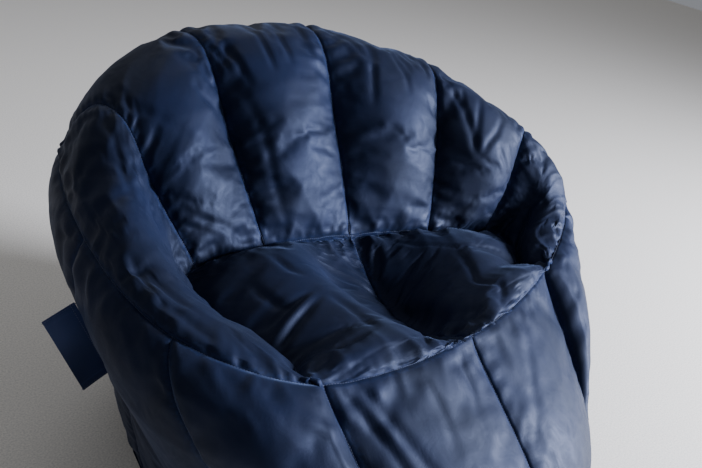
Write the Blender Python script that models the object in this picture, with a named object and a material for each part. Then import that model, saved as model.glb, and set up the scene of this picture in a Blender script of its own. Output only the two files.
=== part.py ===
"""Bean bag chair: a sewn fabric bucket seat with a channelled back, filled with loose beads.

Metres, +Z up, the sitter faces -Y, X is the width. The resting face is at z = 0.
Sections are taken at an angle PHI round the chair: 0 is the middle of the front edge,
+90 the +X arm, 180 the middle of the back. Along a section V runs up the outside and
over the roll: 0 bottom seam, 1 belly, 2 crown seam, 3 top of the roll, 4 inner face, 5 crease.
"""
import bpy
import numpy as np

# ---------------- overall size ----------------
HALF_WIDTH = 0.406          # at the crown seam
BACK_HEIGHT = 0.611         # top of the back roll
BACK_REACH = 0.353          # crown seam, centre back
FRONT_REACH = 0.237         # crown seam, centre front
SEAT_EDGE_HEIGHT = 0.351    # front edge seam
CROWN_SEAM_BACK = 0.424     # crown seam height at the back

# ---------------- lower body ----------------
BASE_HALF_WIDTH = 0.317
BASE_BACK = 0.297
BASE_FRONT = 0.325
BASE_SEAM_HEIGHT = 0.022
BELLY_HEIGHT = 0.162
BELLY_HALF_WIDTH = 0.347
BELLY_BACK = 0.384
BELLY_FRONT = 0.427

FOOT_HALF_WIDTH = 0.258     # where the divider walls stand on the base
FOOT_BACK = 0.150
BASE_TURN = 0.955           # flat part of the base as a share of its bottom seam

# ---------------- rolls, back and seat ----------------
TOP_HALF_WIDTH = 0.364
TOP_BACK = 0.224
TOP_FRONT = 0.181
INNER_HALF_WIDTH = 0.325
INNER_BACK = 0.114
CREASE_HALF_WIDTH = 0.279
CREASE_BACK = 0.037
CREASE_HEIGHT_BACK = 0.350
CREASE_HEIGHT_FRONT = 0.327
ARM_ROLL = 0.217             # roll height as a share of the arm's width
CORNER_LENGTH = 0.16        # share of the arm over which it swells from its front tip
CORNER_SQUARENESS = 0.929
CHANNEL_PUFF = 0.040
ARM_PUFF = 0.010
WALL_PUFF = 0.007
SEAT_PUFF = 0.042
SEAT_VALLEY = 0.050
SIDE_SHEAR = 0.117          # lopsided settling of the bag
SIDE_SAG = 0.026

# ---------------- seams, degrees from the front centre ----------------
CORNER_SEAM = 34.0
SIDE_SEAM = 66.0
LABEL_SEAM = 92.0           # outer wall only
ARM_SEAM = 115.0            # end of the arm band
CHANNEL_SEAM = 150.5

# ---------------- cloth and gaps ----------------
SKIN = 0.0016
BAFFLE = 0.0010
GAP = 0.0003
FILL_GAP = 0.0014           # beads to cover, wider than a seam gap because both are faceted
CREASE_GAP = 0.0014
TIP = 3.6                   # degrees left open between the corner and the arm's first section

# ---------------- zips in the base ----------------
ZIP_Y = -0.050
OUTER_ZIP_LENGTH = 0.340
INNER_ZIP_LENGTH = 0.280
OUTER_ZIP_Z = 0.0100
INNER_ZIP_Z = 0.0300
CHAIN_WIDTH = 0.0022
CHAIN_HEIGHT = 0.0018
WEB = 0.0008
WEB_CLEAR = 0.0004
TAPE_WIDTH = 0.0150
TAPE = 0.0008
SLIDER_LENGTH = 0.0120
SLIDER_HALF_WIDTH = 0.0045
SLIDER_PLATE = 0.0014

# ---------------- side label ----------------
LABEL_WIDTH = 0.044
LABEL_LENGTH = 0.118
LABEL_THICK = 0.0010
LABEL_OFF = 0.0009
LABEL_V = 1.40

# ---------------- shift that puts the whole box over the origin ----------------
CENTRE_X = 0.01957
CENTRE_Y = 0.01588

for item in list(bpy.data.objects):
    bpy.data.objects.remove(item, do_unlink=True)


# ---------------- materials ----------------
def material(name, colour, rough, metal=0.0):
    made = bpy.data.materials.new(name)
    made.use_nodes = True
    shader = made.node_tree.nodes["Principled BSDF"]
    shader.inputs["Base Color"].default_value = (*colour, 1.0)
    shader.inputs["Roughness"].default_value = rough
    shader.inputs["Metallic"].default_value = metal
    made.diffuse_color = (*colour, 1.0)
    return made


CLOTH = material("navy_polyester", (0.022, 0.038, 0.095), 0.55)
LINING = material("grey_lining", (0.20, 0.22, 0.26), 0.80)
BEADS = material("bead_fill", (0.82, 0.82, 0.80), 0.90)
TAPE_CLOTH = material("black_zip_tape", (0.012, 0.012, 0.014), 0.75)
NYLON = material("black_nylon", (0.020, 0.020, 0.022), 0.40)
ZINC = material("dark_zinc", (0.14, 0.14, 0.15), 0.35, 1.0)
LABEL_CLOTH = material("label_satin", (0.045, 0.062, 0.130), 0.45)


# ---------------- chair shape ----------------
def ease(t):
    t = np.clip(t, 0.0, 1.0)
    return t * t * (3.0 - 2.0 * t)


def share(phi):
    """0 at the front corner seam, 1 at the centre of the back."""
    return np.clip((np.abs(phi) - CORNER_SEAM) / (180.0 - CORNER_SEAM), 0.0, 1.0)


def plan(phi, half_width, back, front):
    turn = np.radians(phi)
    across = np.sin(turn)
    along = np.cos(turn)
    reach = np.where(along > 0.0, front, back)
    x = half_width * np.sign(across) * np.abs(across) ** CORNER_SQUARENESS
    y = -reach * np.sign(along) * np.abs(along) ** CORNER_SQUARENESS
    return x, y


def settle(points):
    """The bag has settled a little lopsided: the +X side leans back less and sits lower."""
    x, y, z = points[..., 0], points[..., 1], points[..., 2]
    front = ease((0.05 - y) / 0.3) * ease(z / 0.25)
    back = ease((y + 0.1) / 0.3) * ease(z / 0.45)
    out = np.array(points, dtype=float)
    out[..., 1] += 2.0 * SIDE_SHEAR * x * (front - back)
    out[..., 2] -= 2.0 * SIDE_SAG * x * back
    return out


def section_points(phi):
    """The six points a section runs through, before settling: (..., 6, 3)."""
    phi = np.asarray(phi, dtype=float)
    h = share(phi)
    rise = ease(h)
    swell = ease(h / CORNER_LENGTH)

    def ring(half_width, back, front, z):
        x, y = plan(phi, half_width, back, front)
        return np.stack([x, y, np.broadcast_to(z, x.shape)], -1)

    low = ring(BASE_HALF_WIDTH, BASE_BACK, BASE_FRONT, BASE_SEAM_HEIGHT)
    belly = ring(BELLY_HALF_WIDTH, BELLY_BACK, BELLY_FRONT, BELLY_HEIGHT)
    crown_z = SEAT_EDGE_HEIGHT + (CROWN_SEAM_BACK - SEAT_EDGE_HEIGHT) * rise ** 0.4
    crown = ring(HALF_WIDTH, BACK_REACH, FRONT_REACH, crown_z)
    crease_z = CREASE_HEIGHT_FRONT + (CREASE_HEIGHT_BACK - CREASE_HEIGHT_FRONT) * rise
    crease = ring(CREASE_HALF_WIDTH, CREASE_BACK, FRONT_REACH, crease_z)
    crease = crown + (crease - crown) * swell[..., None]
    top_z = SEAT_EDGE_HEIGHT + (BACK_HEIGHT - SEAT_EDGE_HEIGHT) * rise
    top = ring(TOP_HALF_WIDTH, TOP_BACK, TOP_FRONT, top_z)
    top = crown + (top - crown) * swell[..., None]
    wide = np.linalg.norm((crown - crease)[..., :2], axis=-1)
    top[..., 2] += ARM_ROLL * wide * (1.0 - h) ** 2
    inner = ring(INNER_HALF_WIDTH, INNER_BACK, TOP_FRONT, top_z)
    inner = crown + (inner - crown) * swell[..., None]
    inner[..., 2] = 0.5 * top[..., 2] + 0.5 * crease[..., 2]
    return np.stack([low, belly, crown, top, inner, crease], -2)


def smooth_section(phi, v):
    """Point on the unpuffed surface; phi and v are arrays of one shape."""
    knots = section_points(phi)
    run = knots[..., 1:, :] - knots[..., :-1, :]
    size = np.maximum(np.linalg.norm(run, axis=-1)[..., None], 1e-9)
    unit = run / size
    turn = unit[..., :-1, :] * size[..., 1:, :] + unit[..., 1:, :] * size[..., :-1, :]
    turn /= np.maximum(np.linalg.norm(turn, axis=-1)[..., None], 1e-9)
    turn = np.concatenate([unit[..., :1, :], turn, unit[..., -1:, :]], -2)
    v = np.clip(np.asarray(v, dtype=float), 0.0, 5.0)
    cell = np.minimum(v.astype(int), 4)
    u = (v - cell)[..., None]

    def pick(table, shift):
        index = (cell + shift)[..., None, None]
        wide = table.shape[-1]
        return np.take_along_axis(table, np.broadcast_to(index, cell.shape + (1, wide)), -2)[..., 0, :]

    a, b, reach = pick(knots, 0), pick(knots, 1), pick(size, 0)
    go, come = pick(turn, 0) * reach, pick(turn, 1) * reach
    cubic = (2.0 * u ** 3 - 3.0 * u ** 2 + 1.0) * a + (3.0 * u ** 2 - 2.0 * u ** 3) * b
    return settle(cubic + (u ** 3 - 2.0 * u ** 2 + u) * go + (u ** 3 - u ** 2) * come)


def outward(phi, v):
    """Unit direction out of the unpuffed surface."""
    step, rise = 0.6, 0.03
    round_it = smooth_section(phi + step, v) - smooth_section(phi - step, v)
    above = smooth_section(phi, np.minimum(v + rise, 5.0))
    up_it = above - smooth_section(phi, np.maximum(v - rise, 0.0))
    n = np.cross(round_it, up_it)
    return n / np.maximum(np.linalg.norm(n, axis=-1)[..., None], 1e-12)


SEAMS_WALL = [-180.0, -LABEL_SEAM, -SIDE_SEAM, -CORNER_SEAM, 0.0,
              CORNER_SEAM, SIDE_SEAM, LABEL_SEAM, 180.0]
SEAMS_ROLL = [-180.0, -CHANNEL_SEAM, -ARM_SEAM, -CORNER_SEAM,
              CORNER_SEAM, ARM_SEAM, CHANNEL_SEAM, 180.0]


def between(phi, seams):
    """1 half way between two seams, 0 on them."""
    seams = np.asarray(seams)
    k = np.clip(np.searchsorted(seams, phi, side="right") - 1, 0, len(seams) - 2)
    s = (phi - seams[k]) / (seams[k + 1] - seams[k])
    return 1.0 - np.abs(2.0 * s - 1.0) ** 2.1


def surface(phi, v):
    """Inner face of the cover, puffed out between its seams."""
    phi, v = np.broadcast_arrays(np.asarray(phi, dtype=float), np.asarray(v, dtype=float))
    wall = WALL_PUFF * between(phi, SEAMS_WALL) * np.sin(np.pi * np.clip(v, 0, 2) / 2.0)
    along = np.clip((v - 2.0) / 3.0, 0.0, 1.0)
    full = 0.40 + 0.60 * ease((v - 2.6) / 1.2)
    roll = np.where(np.abs(phi) > ARM_SEAM, CHANNEL_PUFF, ARM_PUFF)
    roll = roll * between(phi, SEAMS_ROLL) * np.sin(np.pi * along) ** 0.9 * full
    roll = np.where(np.abs(phi) > CORNER_SEAM, roll, 0.0)
    return smooth_section(phi, v) + outward(phi, v) * (wall + roll)[..., None]


def seat_rim(phis, side):
    """Edge of the seat on one side (-1 left, 1 right), drawn in from the seams round it."""
    phis = np.asarray(phis, dtype=float)
    rim = surface(side * phis, np.where(phis <= CORNER_SEAM, 2.0, 5.0))
    run = np.gradient(rim, axis=0)
    run /= np.linalg.norm(run[:, :2], axis=-1)[:, None]
    rim[:, 0] -= side * run[:, 1] * CREASE_GAP
    rim[:, 1] += side * run[:, 0] * CREASE_GAP
    return rim


def seat_grid(phis, across):
    """Seat surface from the front (first row) to the back; across runs -1 (left) to 1 (right)."""
    left, right = seat_rim(phis, -1.0), seat_rim(phis, 1.0)
    left[0, 0] = right[0, 0] = 0.5 * (left[0, 0] + right[0, 0])
    left[-1, 0] = right[-1, 0] = 0.5 * (left[-1, 0] + right[-1, 0])
    front, rear = 0.5 * (left[0] + right[0]), 0.5 * (left[-1] + right[-1])
    rows = []
    for i, phi in enumerate(phis):
        t = ease(phi / 180.0) * 0.5 + 0.5 * phi / 180.0
        arch = max(np.sin(np.pi * t), 0.0) ** 1.1
        middle = front + (rear - front) * t
        middle[2] -= SEAT_VALLEY * arch
        row = []
        for w in across:
            r = abs(w)
            point = middle + ((left[i] if w < 0.0 else right[i]) - middle) * r
            point[2] += SEAT_PUFF * np.sin(np.pi * r) * arch
            row.append(point)
        rows.append(row)
    return np.array(rows)


# ---------------- solids from structured grids ----------------
def grid_normals(points):
    """Unit normals of a grid of points, from its own neighbours."""
    di = np.gradient(points, axis=0)
    dj = np.gradient(points, axis=1)
    n = np.cross(di, dj)
    size = np.linalg.norm(n, axis=-1)[..., None]
    return n / np.maximum(size, 1e-12)


def trim(points, edges, amount):
    """Pull the named edges of a grid inwards, square to each edge."""
    out = points.copy()
    for edge in edges:
        if edge in ("i0", "i1"):
            rim, inside = (points[0], points[1]) if edge == "i0" else (points[-1], points[-2])
        else:
            rim, inside = (points[:, 0], points[:, 1]) if edge == "j0" else (points[:, -1], points[:, -2])
        run = np.gradient(rim, axis=0)
        run /= np.maximum(np.linalg.norm(run, axis=-1)[..., None], 1e-12)
        step = inside - rim
        step = step - (step * run).sum(-1)[..., None] * run
        size = np.linalg.norm(step, axis=-1)[..., None]
        step = step / np.maximum(size, 1e-12) * np.minimum(amount, 0.45 * size)
        if edge == "i0":
            out[0] += step
        elif edge == "i1":
            out[-1] += step
        elif edge == "j0":
            out[:, 0] += step
        else:
            out[:, -1] += step
    return out


def add_mesh(name, verts, faces, slot, pivot=(0.0, 0.0, 0.0)):
    """One closed solid; turned the right way out by its signed volume."""
    verts = np.asarray(verts, dtype=float)
    tris = np.asarray(faces)
    a, b, c = verts[tris[:, 0]], verts[tris[:, 1]], verts[tris[:, 2]]
    if (np.cross(a, b) * c).sum() < 0.0:
        tris = tris[:, ::-1]
    mesh = bpy.data.meshes.new(name)
    points = [tuple(p) for p in (verts - np.asarray(pivot))]
    mesh.from_pydata(points, [], [tuple(int(k) for k in f) for f in tris])
    mesh.update()
    body = bpy.data.objects.new(name, mesh)
    body.location = pivot
    bpy.context.scene.collection.objects.link(body)
    mesh.materials.append(slot)
    return body


def skin_of_grid(ids, flip, loop):
    """Triangles of one grid of vertex numbers; flip picks the other diagonal per column of cells."""
    faces = []
    ni, nj = ids.shape
    for i in range(ni if loop else ni - 1):
        for j in range(nj - 1):
            a, b = ids[i, j], ids[(i + 1) % ni, j]
            c, d = ids[(i + 1) % ni, j + 1], ids[i, j + 1]
            if flip[j]:
                faces += [(a, b, d), (b, c, d)]
            else:
                faces += [(a, b, c), (a, c, d)]
    return faces


def block(name, grid, slot, loop=False, flip_low=None, flip_start=None):
    """Closed solid round a block of points (i, j, k, 3)."""
    ni, nj, nk = grid.shape[:3]
    number = np.full((ni, nj, nk), -1)
    verts = []
    for i in range(ni):
        for j in range(nj):
            for k in range(nk):
                rim = (not loop and i in (0, ni - 1)) or j in (0, nj - 1) or k in (0, nk - 1)
                if rim:
                    number[i, j, k] = len(verts)
                    verts.append(grid[i, j, k])
    plain = [False] * max(ni, nj, nk)
    low = flip_low or plain
    start = flip_start or plain
    faces = [f[::-1] for f in skin_of_grid(number[:, :, 0], low, loop)]
    faces += skin_of_grid(number[:, :, -1], plain, loop)
    faces += skin_of_grid(number[:, 0, :], start, loop)
    faces += [f[::-1] for f in skin_of_grid(number[:, -1, :], plain, loop)]
    if not loop:
        faces += [f[::-1] for f in skin_of_grid(number[0], plain, False)]
        faces += skin_of_grid(number[-1], plain, False)
    return add_mesh(name, verts, faces, slot)


def box(name, low, high, slot, pivot=(0.0, 0.0, 0.0)):
    x, y, z = zip(low, high)
    verts = [(a, b, c) for a in x for b in y for c in z]
    quads = [(0, 1, 3, 2), (4, 6, 7, 5), (0, 4, 5, 1), (2, 3, 7, 6), (0, 2, 6, 4), (1, 5, 7, 3)]
    faces = []
    for q in quads:
        faces += [(q[0], q[1], q[2]), (q[0], q[2], q[3])]
    return add_mesh(name, verts, faces, slot, pivot)


def panel(name, phis, vs, slot):
    """A sewn cover panel: the grid it covers, thickened outwards, clear of its neighbours."""
    phi, v = np.meshgrid(phis, vs, indexing="ij")
    inner = surface(phi, v)
    n = grid_normals(inner)
    shared = outward(phi, v)
    n[0], n[-1], n[:, 0], n[:, -1] = shared[0], shared[-1], shared[:, 0], shared[:, -1]
    inner = trim(inner, ("i0", "i1", "j0", "j1"), GAP / 2.0 + 0.00008)
    return block(name, np.stack([inner, inner + n * SKIN], 2), slot)


def columns(start, end, count):
    return np.linspace(start, end, count + 1)


WALL_V = np.array([0.0, 0.4, 0.8, 1.2, 1.6, 2.0])
ROLL_V = np.array([2.0, 2.25, 2.5, 2.75, 3.0, 3.25, 3.7, 4.3, 5.0])
FRONT_COLS = columns(0.0, CORNER_SEAM, 4)
SIDE_COLS = columns(CORNER_SEAM, SIDE_SEAM, 4)
MID_COLS = columns(SIDE_SEAM, LABEL_SEAM, 3)
ARM_END_COLS = columns(LABEL_SEAM, ARM_SEAM, 3)
REAR_COLS = np.concatenate([MID_COLS, ARM_END_COLS[1:]])
OUTER_CHANNEL_COLS = columns(ARM_SEAM, CHANNEL_SEAM, 6)
INNER_CHANNEL_COLS = columns(CHANNEL_SEAM, 180.0, 6)
BACK_COLS = np.concatenate([OUTER_CHANNEL_COLS, INNER_CHANNEL_COLS[1:]])
ARM_COLS = np.concatenate([[CORNER_SEAM + TIP], SIDE_COLS[1:], REAR_COLS[1:]])


def both(name, cols, vs, slot):
    panel(name + "_left", -cols[::-1], vs, slot)
    panel(name + "_right", cols, vs, slot)


# ---------------- outer cover ----------------
both("front_panel", FRONT_COLS, WALL_V, CLOTH)
both("side_front_panel", SIDE_COLS, WALL_V, CLOTH)
both("side_rear_panel", MID_COLS, WALL_V, CLOTH)
both("back_panel", np.concatenate([ARM_END_COLS, BACK_COLS[1:]]), WALL_V, CLOTH)
both("arm_band", ARM_COLS, ROLL_V, CLOTH)
panel("back_channel_1", -OUTER_CHANNEL_COLS[::-1], ROLL_V, CLOTH)
panel("back_channel_2", -INNER_CHANNEL_COLS[::-1], ROLL_V, CLOTH)
panel("back_channel_3", INNER_CHANNEL_COLS, ROLL_V, CLOTH)
panel("back_channel_4", OUTER_CHANNEL_COLS, ROLL_V, CLOTH)

# ---------------- seat panels ----------------
SEAT_PHIS = np.concatenate([FRONT_COLS, ARM_COLS[1:], BACK_COLS[1:]])
HALF_ACROSS = np.array([0.0, 0.2, 0.45, 0.72, 1.0])
SEAT_ACROSS = np.concatenate([-HALF_ACROSS[:0:-1], HALF_ACROSS])
END_SHARE = 0.10            # the seat's pointed ends are blunted by this share of a row


def blunt(rows):
    """Pull the two pointed end rows in along the facets they belong to."""
    out = rows.copy()
    out[0] = rows[0] + (rows[1] - rows[0]) * END_SHARE
    out[-1] = rows[-1] + (rows[-2] - rows[-1]) * END_SHARE
    return out


SEAT_TOP = blunt(seat_grid(SEAT_PHIS, SEAT_ACROSS))
SEAT_OUT = grid_normals(SEAT_TOP)
if SEAT_OUT[len(SEAT_PHIS) // 2, 2, 2] < 0.0:
    SEAT_OUT = -SEAT_OUT
SEAT_OUT[..., 2] += 1.0
SEAT_OUT /= np.linalg.norm(SEAT_OUT, axis=-1)[..., None]
SEAT_MID = len(HALF_ACROSS) - 1


def seat_panel(name, pick):
    inner = SEAT_TOP[:, pick]
    n = SEAT_OUT[:, pick].copy()
    rim = 0 if pick.start is None or pick.start == 0 else -1
    for i, phi in enumerate(SEAT_PHIS):
        v = 2.0 if phi <= CORNER_SEAM else 5.0
        side = -phi if rim == 0 else phi
        n[i, rim] = outward(np.array(side), np.array(v))
    seam = -1 if rim == 0 else 0
    n[:, seam, 0] = 0.0
    n[:, seam] /= np.linalg.norm(n[:, seam], axis=-1)[:, None]
    inner = trim(inner, ("j1" if rim == 0 else "j0",), GAP / 2.0 + 0.0001)
    block(name, np.stack([inner, inner + n * SKIN], 2), CLOTH)


seat_panel("seat_panel_left", slice(0, SEAT_MID + 1))
seat_panel("seat_panel_right", slice(SEAT_MID, None))

# ---------------- sections through the bag, for walls and fills ----------------
FLOOR_Z = SKIN + 2.0 * GAP
LEVELS = 1 + len(WALL_V)


def base_ring(phi, scale, z):
    x, y = plan(np.asarray(phi, dtype=float), BASE_HALF_WIDTH, BASE_BACK, BASE_FRONT)
    return np.stack([x * scale, y * scale, np.full_like(x, z)], -1)


def wall_chain(phis):
    """Inside of the outer wall, from the flat of the base up to the crown seam."""
    phi, v = np.meshgrid(phis, WALL_V, indexing="ij")
    flat = base_ring(phis, BASE_TURN, FLOOR_Z)[:, None]
    return np.concatenate([flat, surface(phi, v)], 1)


def divider_chain(phis):
    """Wall between seat and arms or back; it leaves the outer wall at the front corner."""
    wall = wall_chain(phis)
    x, y = plan(phis, FOOT_HALF_WIDTH, FOOT_BACK, BASE_FRONT * BASE_TURN)
    foot = np.stack([x, y, np.full_like(x, FLOOR_Z)], -1)
    crease = surface(phis, np.full_like(phis, 5.0))
    u = np.linspace(0.0, 1.0, LEVELS)[None, :, None]
    line = foot[:, None] + (crease - foot)[:, None] * u
    s = ease(share(phis) / CORNER_LENGTH)[:, None, None]
    meet = (crease - wall[:, -1])[:, None]
    return wall * (1.0 - s) + line * s + u * u * (1.0 - s) * meet


def away(points):
    """Normals of a wall grid, pointing away from the seat."""
    n = grid_normals(points)
    middle = points[points.shape[0] // 2, points.shape[1] // 2]
    facing = n[points.shape[0] // 2, points.shape[1] // 2]
    return n if (facing[:2] * (middle[:2] - np.array([0.0, ZIP_Y]))).sum() > 0.0 else -n


def divider(name, phis):
    """Upright lining wall; its foot stands on the base."""
    mid = divider_chain(phis)
    n = away(mid)
    n[:, 0, 2] = 0.0
    mid = trim(mid, ("i0", "i1"), GAP)
    mid[:, -1] -= (mid[:, -1] - mid[:, -2]) * 0.012
    half = n * BAFFLE / 2.0
    block(name, np.stack([mid - half, mid + half], 2), LINING)


def sector(phis, inset):
    """Grid (column, rung, inside or outside) of one bead sector, clear of its cover."""
    phis = np.asarray(phis, dtype=float)
    mid = divider_chain(phis)
    out = away(mid)
    out[:, 0, 2] = 0.0
    inner_low = mid + out * (BAFFLE / 2.0 + inset)
    phi, v = np.meshgrid(phis, ROLL_V, indexing="ij")
    roll = surface(phi, v)
    roll_n = grid_normals(roll)
    shared = outward(phi, v)
    roll_n[0], roll_n[-1], roll_n[:, 0], roll_n[:, -1] = shared[0], shared[-1], shared[:, 0], shared[:, -1]
    roll_in = roll - roll_n * inset * 1.25
    wall = wall_chain(phis)
    phi, v = np.meshgrid(phis, WALL_V, indexing="ij")
    wall_n = grid_normals(wall[:, 1:])
    shared = outward(phi, v)
    wall_n[0], wall_n[-1], wall_n[:, 0], wall_n[:, -1] = shared[0], shared[-1], shared[:, 0], shared[:, -1]
    wall_in = wall.copy()
    wall_in[:, 1:] -= wall_n * inset
    wall_in[:, 0] -= (wall[:, 0] - mid[:, 0]) * 0.01
    inner_low[:, -1] = roll_in[:, -1] + out[:, -1] * (BAFFLE / 2.0 + inset)
    upper = roll_in[:, 5:-1][:, ::-1]
    low = np.concatenate([inner_low, upper], 1)
    high = np.concatenate([wall_in, roll_in[:, 1:4]], 1)
    return np.stack([low, high], 2)


def plate_normals(plate):
    """Unit normals of a section ladder (rung, inside or outside, 3)."""
    n = np.cross(np.gradient(plate, axis=0), np.gradient(plate, axis=1))
    return n / np.maximum(np.linalg.norm(n, axis=-1)[..., None], 1e-12)


def face_back(grid, end, amount):
    """Set the end of a sector back from its section, keeping it on its own facets."""
    out = grid.copy()
    rim, inside = (grid[0], grid[1]) if end == 0 else (grid[-1], grid[-2])
    plate = plate_normals(rim)
    step = inside - rim
    run = np.gradient(rim, axis=0)
    run /= np.maximum(np.linalg.norm(run, axis=-1)[..., None], 1e-12)
    step = step - (step * run).sum(-1)[..., None] * run
    step /= np.maximum(np.linalg.norm(step, axis=-1)[..., None], 1e-12)
    lean = np.abs((step * plate).sum(-1))[..., None]
    out[end] = rim + step * amount / np.maximum(lean, 0.35)
    return out


SECTOR_FLIP = [False] * (LEVELS - 1) + [True] * 3


def fill(name, phis):
    grid = sector(phis, FILL_GAP)
    grid = face_back(grid, 0, BAFFLE / 2.0 + FILL_GAP)
    grid = face_back(grid, -1, BAFFLE / 2.0 + FILL_GAP)
    block(name, grid, BEADS, flip_low=SECTOR_FLIP)


def baffle(name, phi):
    """Tie wall sewn between two channels."""
    step = 0.05
    three = sector([phi - step, phi, phi + step], FILL_GAP)
    middle = three[1]
    half = plate_normals(middle) * BAFFLE / 2.0
    block(name, np.stack([middle - half, middle + half], 0), LINING)


def mirror_pair(make, name, cols):
    make(name + "_left", -cols[::-1])
    make(name + "_right", cols)


ARM_FILL_COLS = ARM_COLS[1:]
mirror_pair(divider, "arm_divider", ARM_FILL_COLS)
divider("back_divider_left", -BACK_COLS[::-1])
divider("back_divider_right", BACK_COLS)
mirror_pair(fill, "arm_fill", ARM_FILL_COLS)
fill("channel_fill_1", -OUTER_CHANNEL_COLS[::-1])
fill("channel_fill_2", -INNER_CHANNEL_COLS[::-1])
fill("channel_fill_3", INNER_CHANNEL_COLS)
fill("channel_fill_4", OUTER_CHANNEL_COLS)
for number, angle in enumerate((-ARM_SEAM, -CHANNEL_SEAM, 180.0, CHANNEL_SEAM, ARM_SEAM)):
    baffle("channel_baffle_%d" % (number + 1), angle)

# ---------------- seat fill ----------------
right_side = divider_chain(SEAT_PHIS)
left_side = divider_chain(-SEAT_PHIS)
right_side = blunt(right_side - away(right_side) * (BAFFLE / 2.0 + 1.6 * FILL_GAP))
left_side = blunt(left_side - away(left_side) * (BAFFLE / 2.0 + 1.6 * FILL_GAP))
for side in (left_side, right_side):
    side[:, 0, 2] = FLOOR_Z
top = SEAT_TOP - SEAT_OUT * FILL_GAP
centre = (SEAT_ACROSS + 1.0) / 2.0
levels = np.linspace(0.0, 1.0, LEVELS)
body = np.zeros((len(SEAT_PHIS), len(SEAT_ACROSS), LEVELS, 3))
for i in range(len(SEAT_PHIS)):
    for j, c in enumerate(centre):
        low = left_side[i, 0] * (1.0 - c) + right_side[i, 0] * c
        for k, u in enumerate(levels):
            side = left_side[i, k] * (1.0 - c) + right_side[i, k] * c
            lift = u * u * (top[i, j] - (left_side[i, -1] * (1.0 - c) + right_side[i, -1] * c))
            body[i, j, k] = side + lift
for j, side in ((0, left_side), (-1, right_side)):
    body[:, j] = side
    body[:, j, -1] = top[:, j]
    body[-1, j, 1:-1, 1] -= GAP
seat_fill = block("seat_fill", body, BEADS, flip_start=[True] * LEVELS)


def cut_box(target, low, high):
    """Take a plain box out of a solid."""
    tool = box("cutter", low, high, BEADS)
    tool.hide_render = True
    tool.display_type = "WIRE"
    cut = target.modifiers.new("pocket", "BOOLEAN")
    cut.operation = "DIFFERENCE"
    cut.solver = "EXACT"
    cut.object = tool
    graph = bpy.context.evaluated_depsgraph_get()
    mesh = bpy.data.meshes.new_from_object(target.evaluated_get(graph))
    target.modifiers.clear()
    target.data = mesh
    bpy.data.objects.remove(tool, do_unlink=True)


POCKET_X = OUTER_ZIP_LENGTH / 2.0 + 0.046
POCKET_Y = 0.064
POCKET_Z = INNER_ZIP_Z + 0.0095
cut_box(seat_fill, (-POCKET_X, ZIP_Y - POCKET_Y, -0.01), (POCKET_X, ZIP_Y + POCKET_Y, POCKET_Z))


# ---------------- base and inner closure ----------------
def rectangle(phis, half_x, half_y, z):
    """Points on a rectangle round the zip; its corners fall on the side and arm seams."""
    points = []
    for phi in phis:
        size = abs(phi)
        sign = 1.0 if phi >= 0.0 else -1.0
        if size <= SIDE_SEAM:
            x, y = half_x * size / SIDE_SEAM, -half_y
        elif size <= ARM_SEAM:
            x, y = half_x, -half_y + 2.0 * half_y * (size - SIDE_SEAM) / (ARM_SEAM - SIDE_SEAM)
        else:
            x, y = half_x * (180.0 - size) / (180.0 - ARM_SEAM), half_y
        points.append((sign * x, ZIP_Y + y, z))
    return np.array(points)


RIM_HALF = 0.0100
ROUND = np.concatenate([FRONT_COLS, SIDE_COLS[1:], REAR_COLS[1:], BACK_COLS[1:]])
ROUND = np.concatenate([-ROUND[:0:-1], ROUND[:-1]])
rim_x = OUTER_ZIP_LENGTH / 2.0 + 0.008
rim = rectangle(ROUND, rim_x, RIM_HALF, OUTER_ZIP_Z)
dip = rectangle(ROUND, rim_x + 0.022, RIM_HALF + 0.022, SKIN)
flat = base_ring(ROUND, BASE_TURN, SKIN)
edge = surface(ROUND, np.zeros_like(ROUND))
upper = np.stack([rim, dip, 0.5 * (dip + flat), flat, edge], 1)
down = np.zeros_like(upper)
down[:, :4, 2] = -1.0
down[:, 4] = outward(ROUND, np.zeros_like(ROUND))
pull = edge - flat
pull /= np.linalg.norm(pull, axis=-1)[:, None]
upper[:, 4] -= pull * (GAP / 2.0 + 0.0001)
block("base_panel", np.stack([upper, upper + down * SKIN], 2), CLOTH, loop=True)

lid_x = INNER_ZIP_LENGTH / 2.0 + 0.008
lid_cols = np.array([-ARM_SEAM, -90.0, -SIDE_SEAM, -32.5, 0.0, 32.5, SIDE_SEAM, 90.0, ARM_SEAM,
                     147.5, 180.0, -147.5])
rings = ((lid_x, RIM_HALF, INNER_ZIP_Z), (rim_x + 0.026, RIM_HALF + 0.040, INNER_ZIP_Z),
         (rim_x + 0.034, RIM_HALF + 0.050, SKIN + GAP))
lid = np.stack([rectangle(lid_cols, *ring) for ring in rings], 1)
lid_low = lid.copy()
lid_low[:, 0, 2] -= SKIN
lid_low[:, 1] = rectangle(lid_cols, rings[1][0] - SKIN, rings[1][1] - SKIN, INNER_ZIP_Z - SKIN)
lid_low[:, 2] = rectangle(lid_cols, rings[2][0] - SKIN, rings[2][1] - SKIN, SKIN + GAP)
block("inner_closure_panel", np.stack([lid_low, lid], 2), LINING, loop=True)


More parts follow.
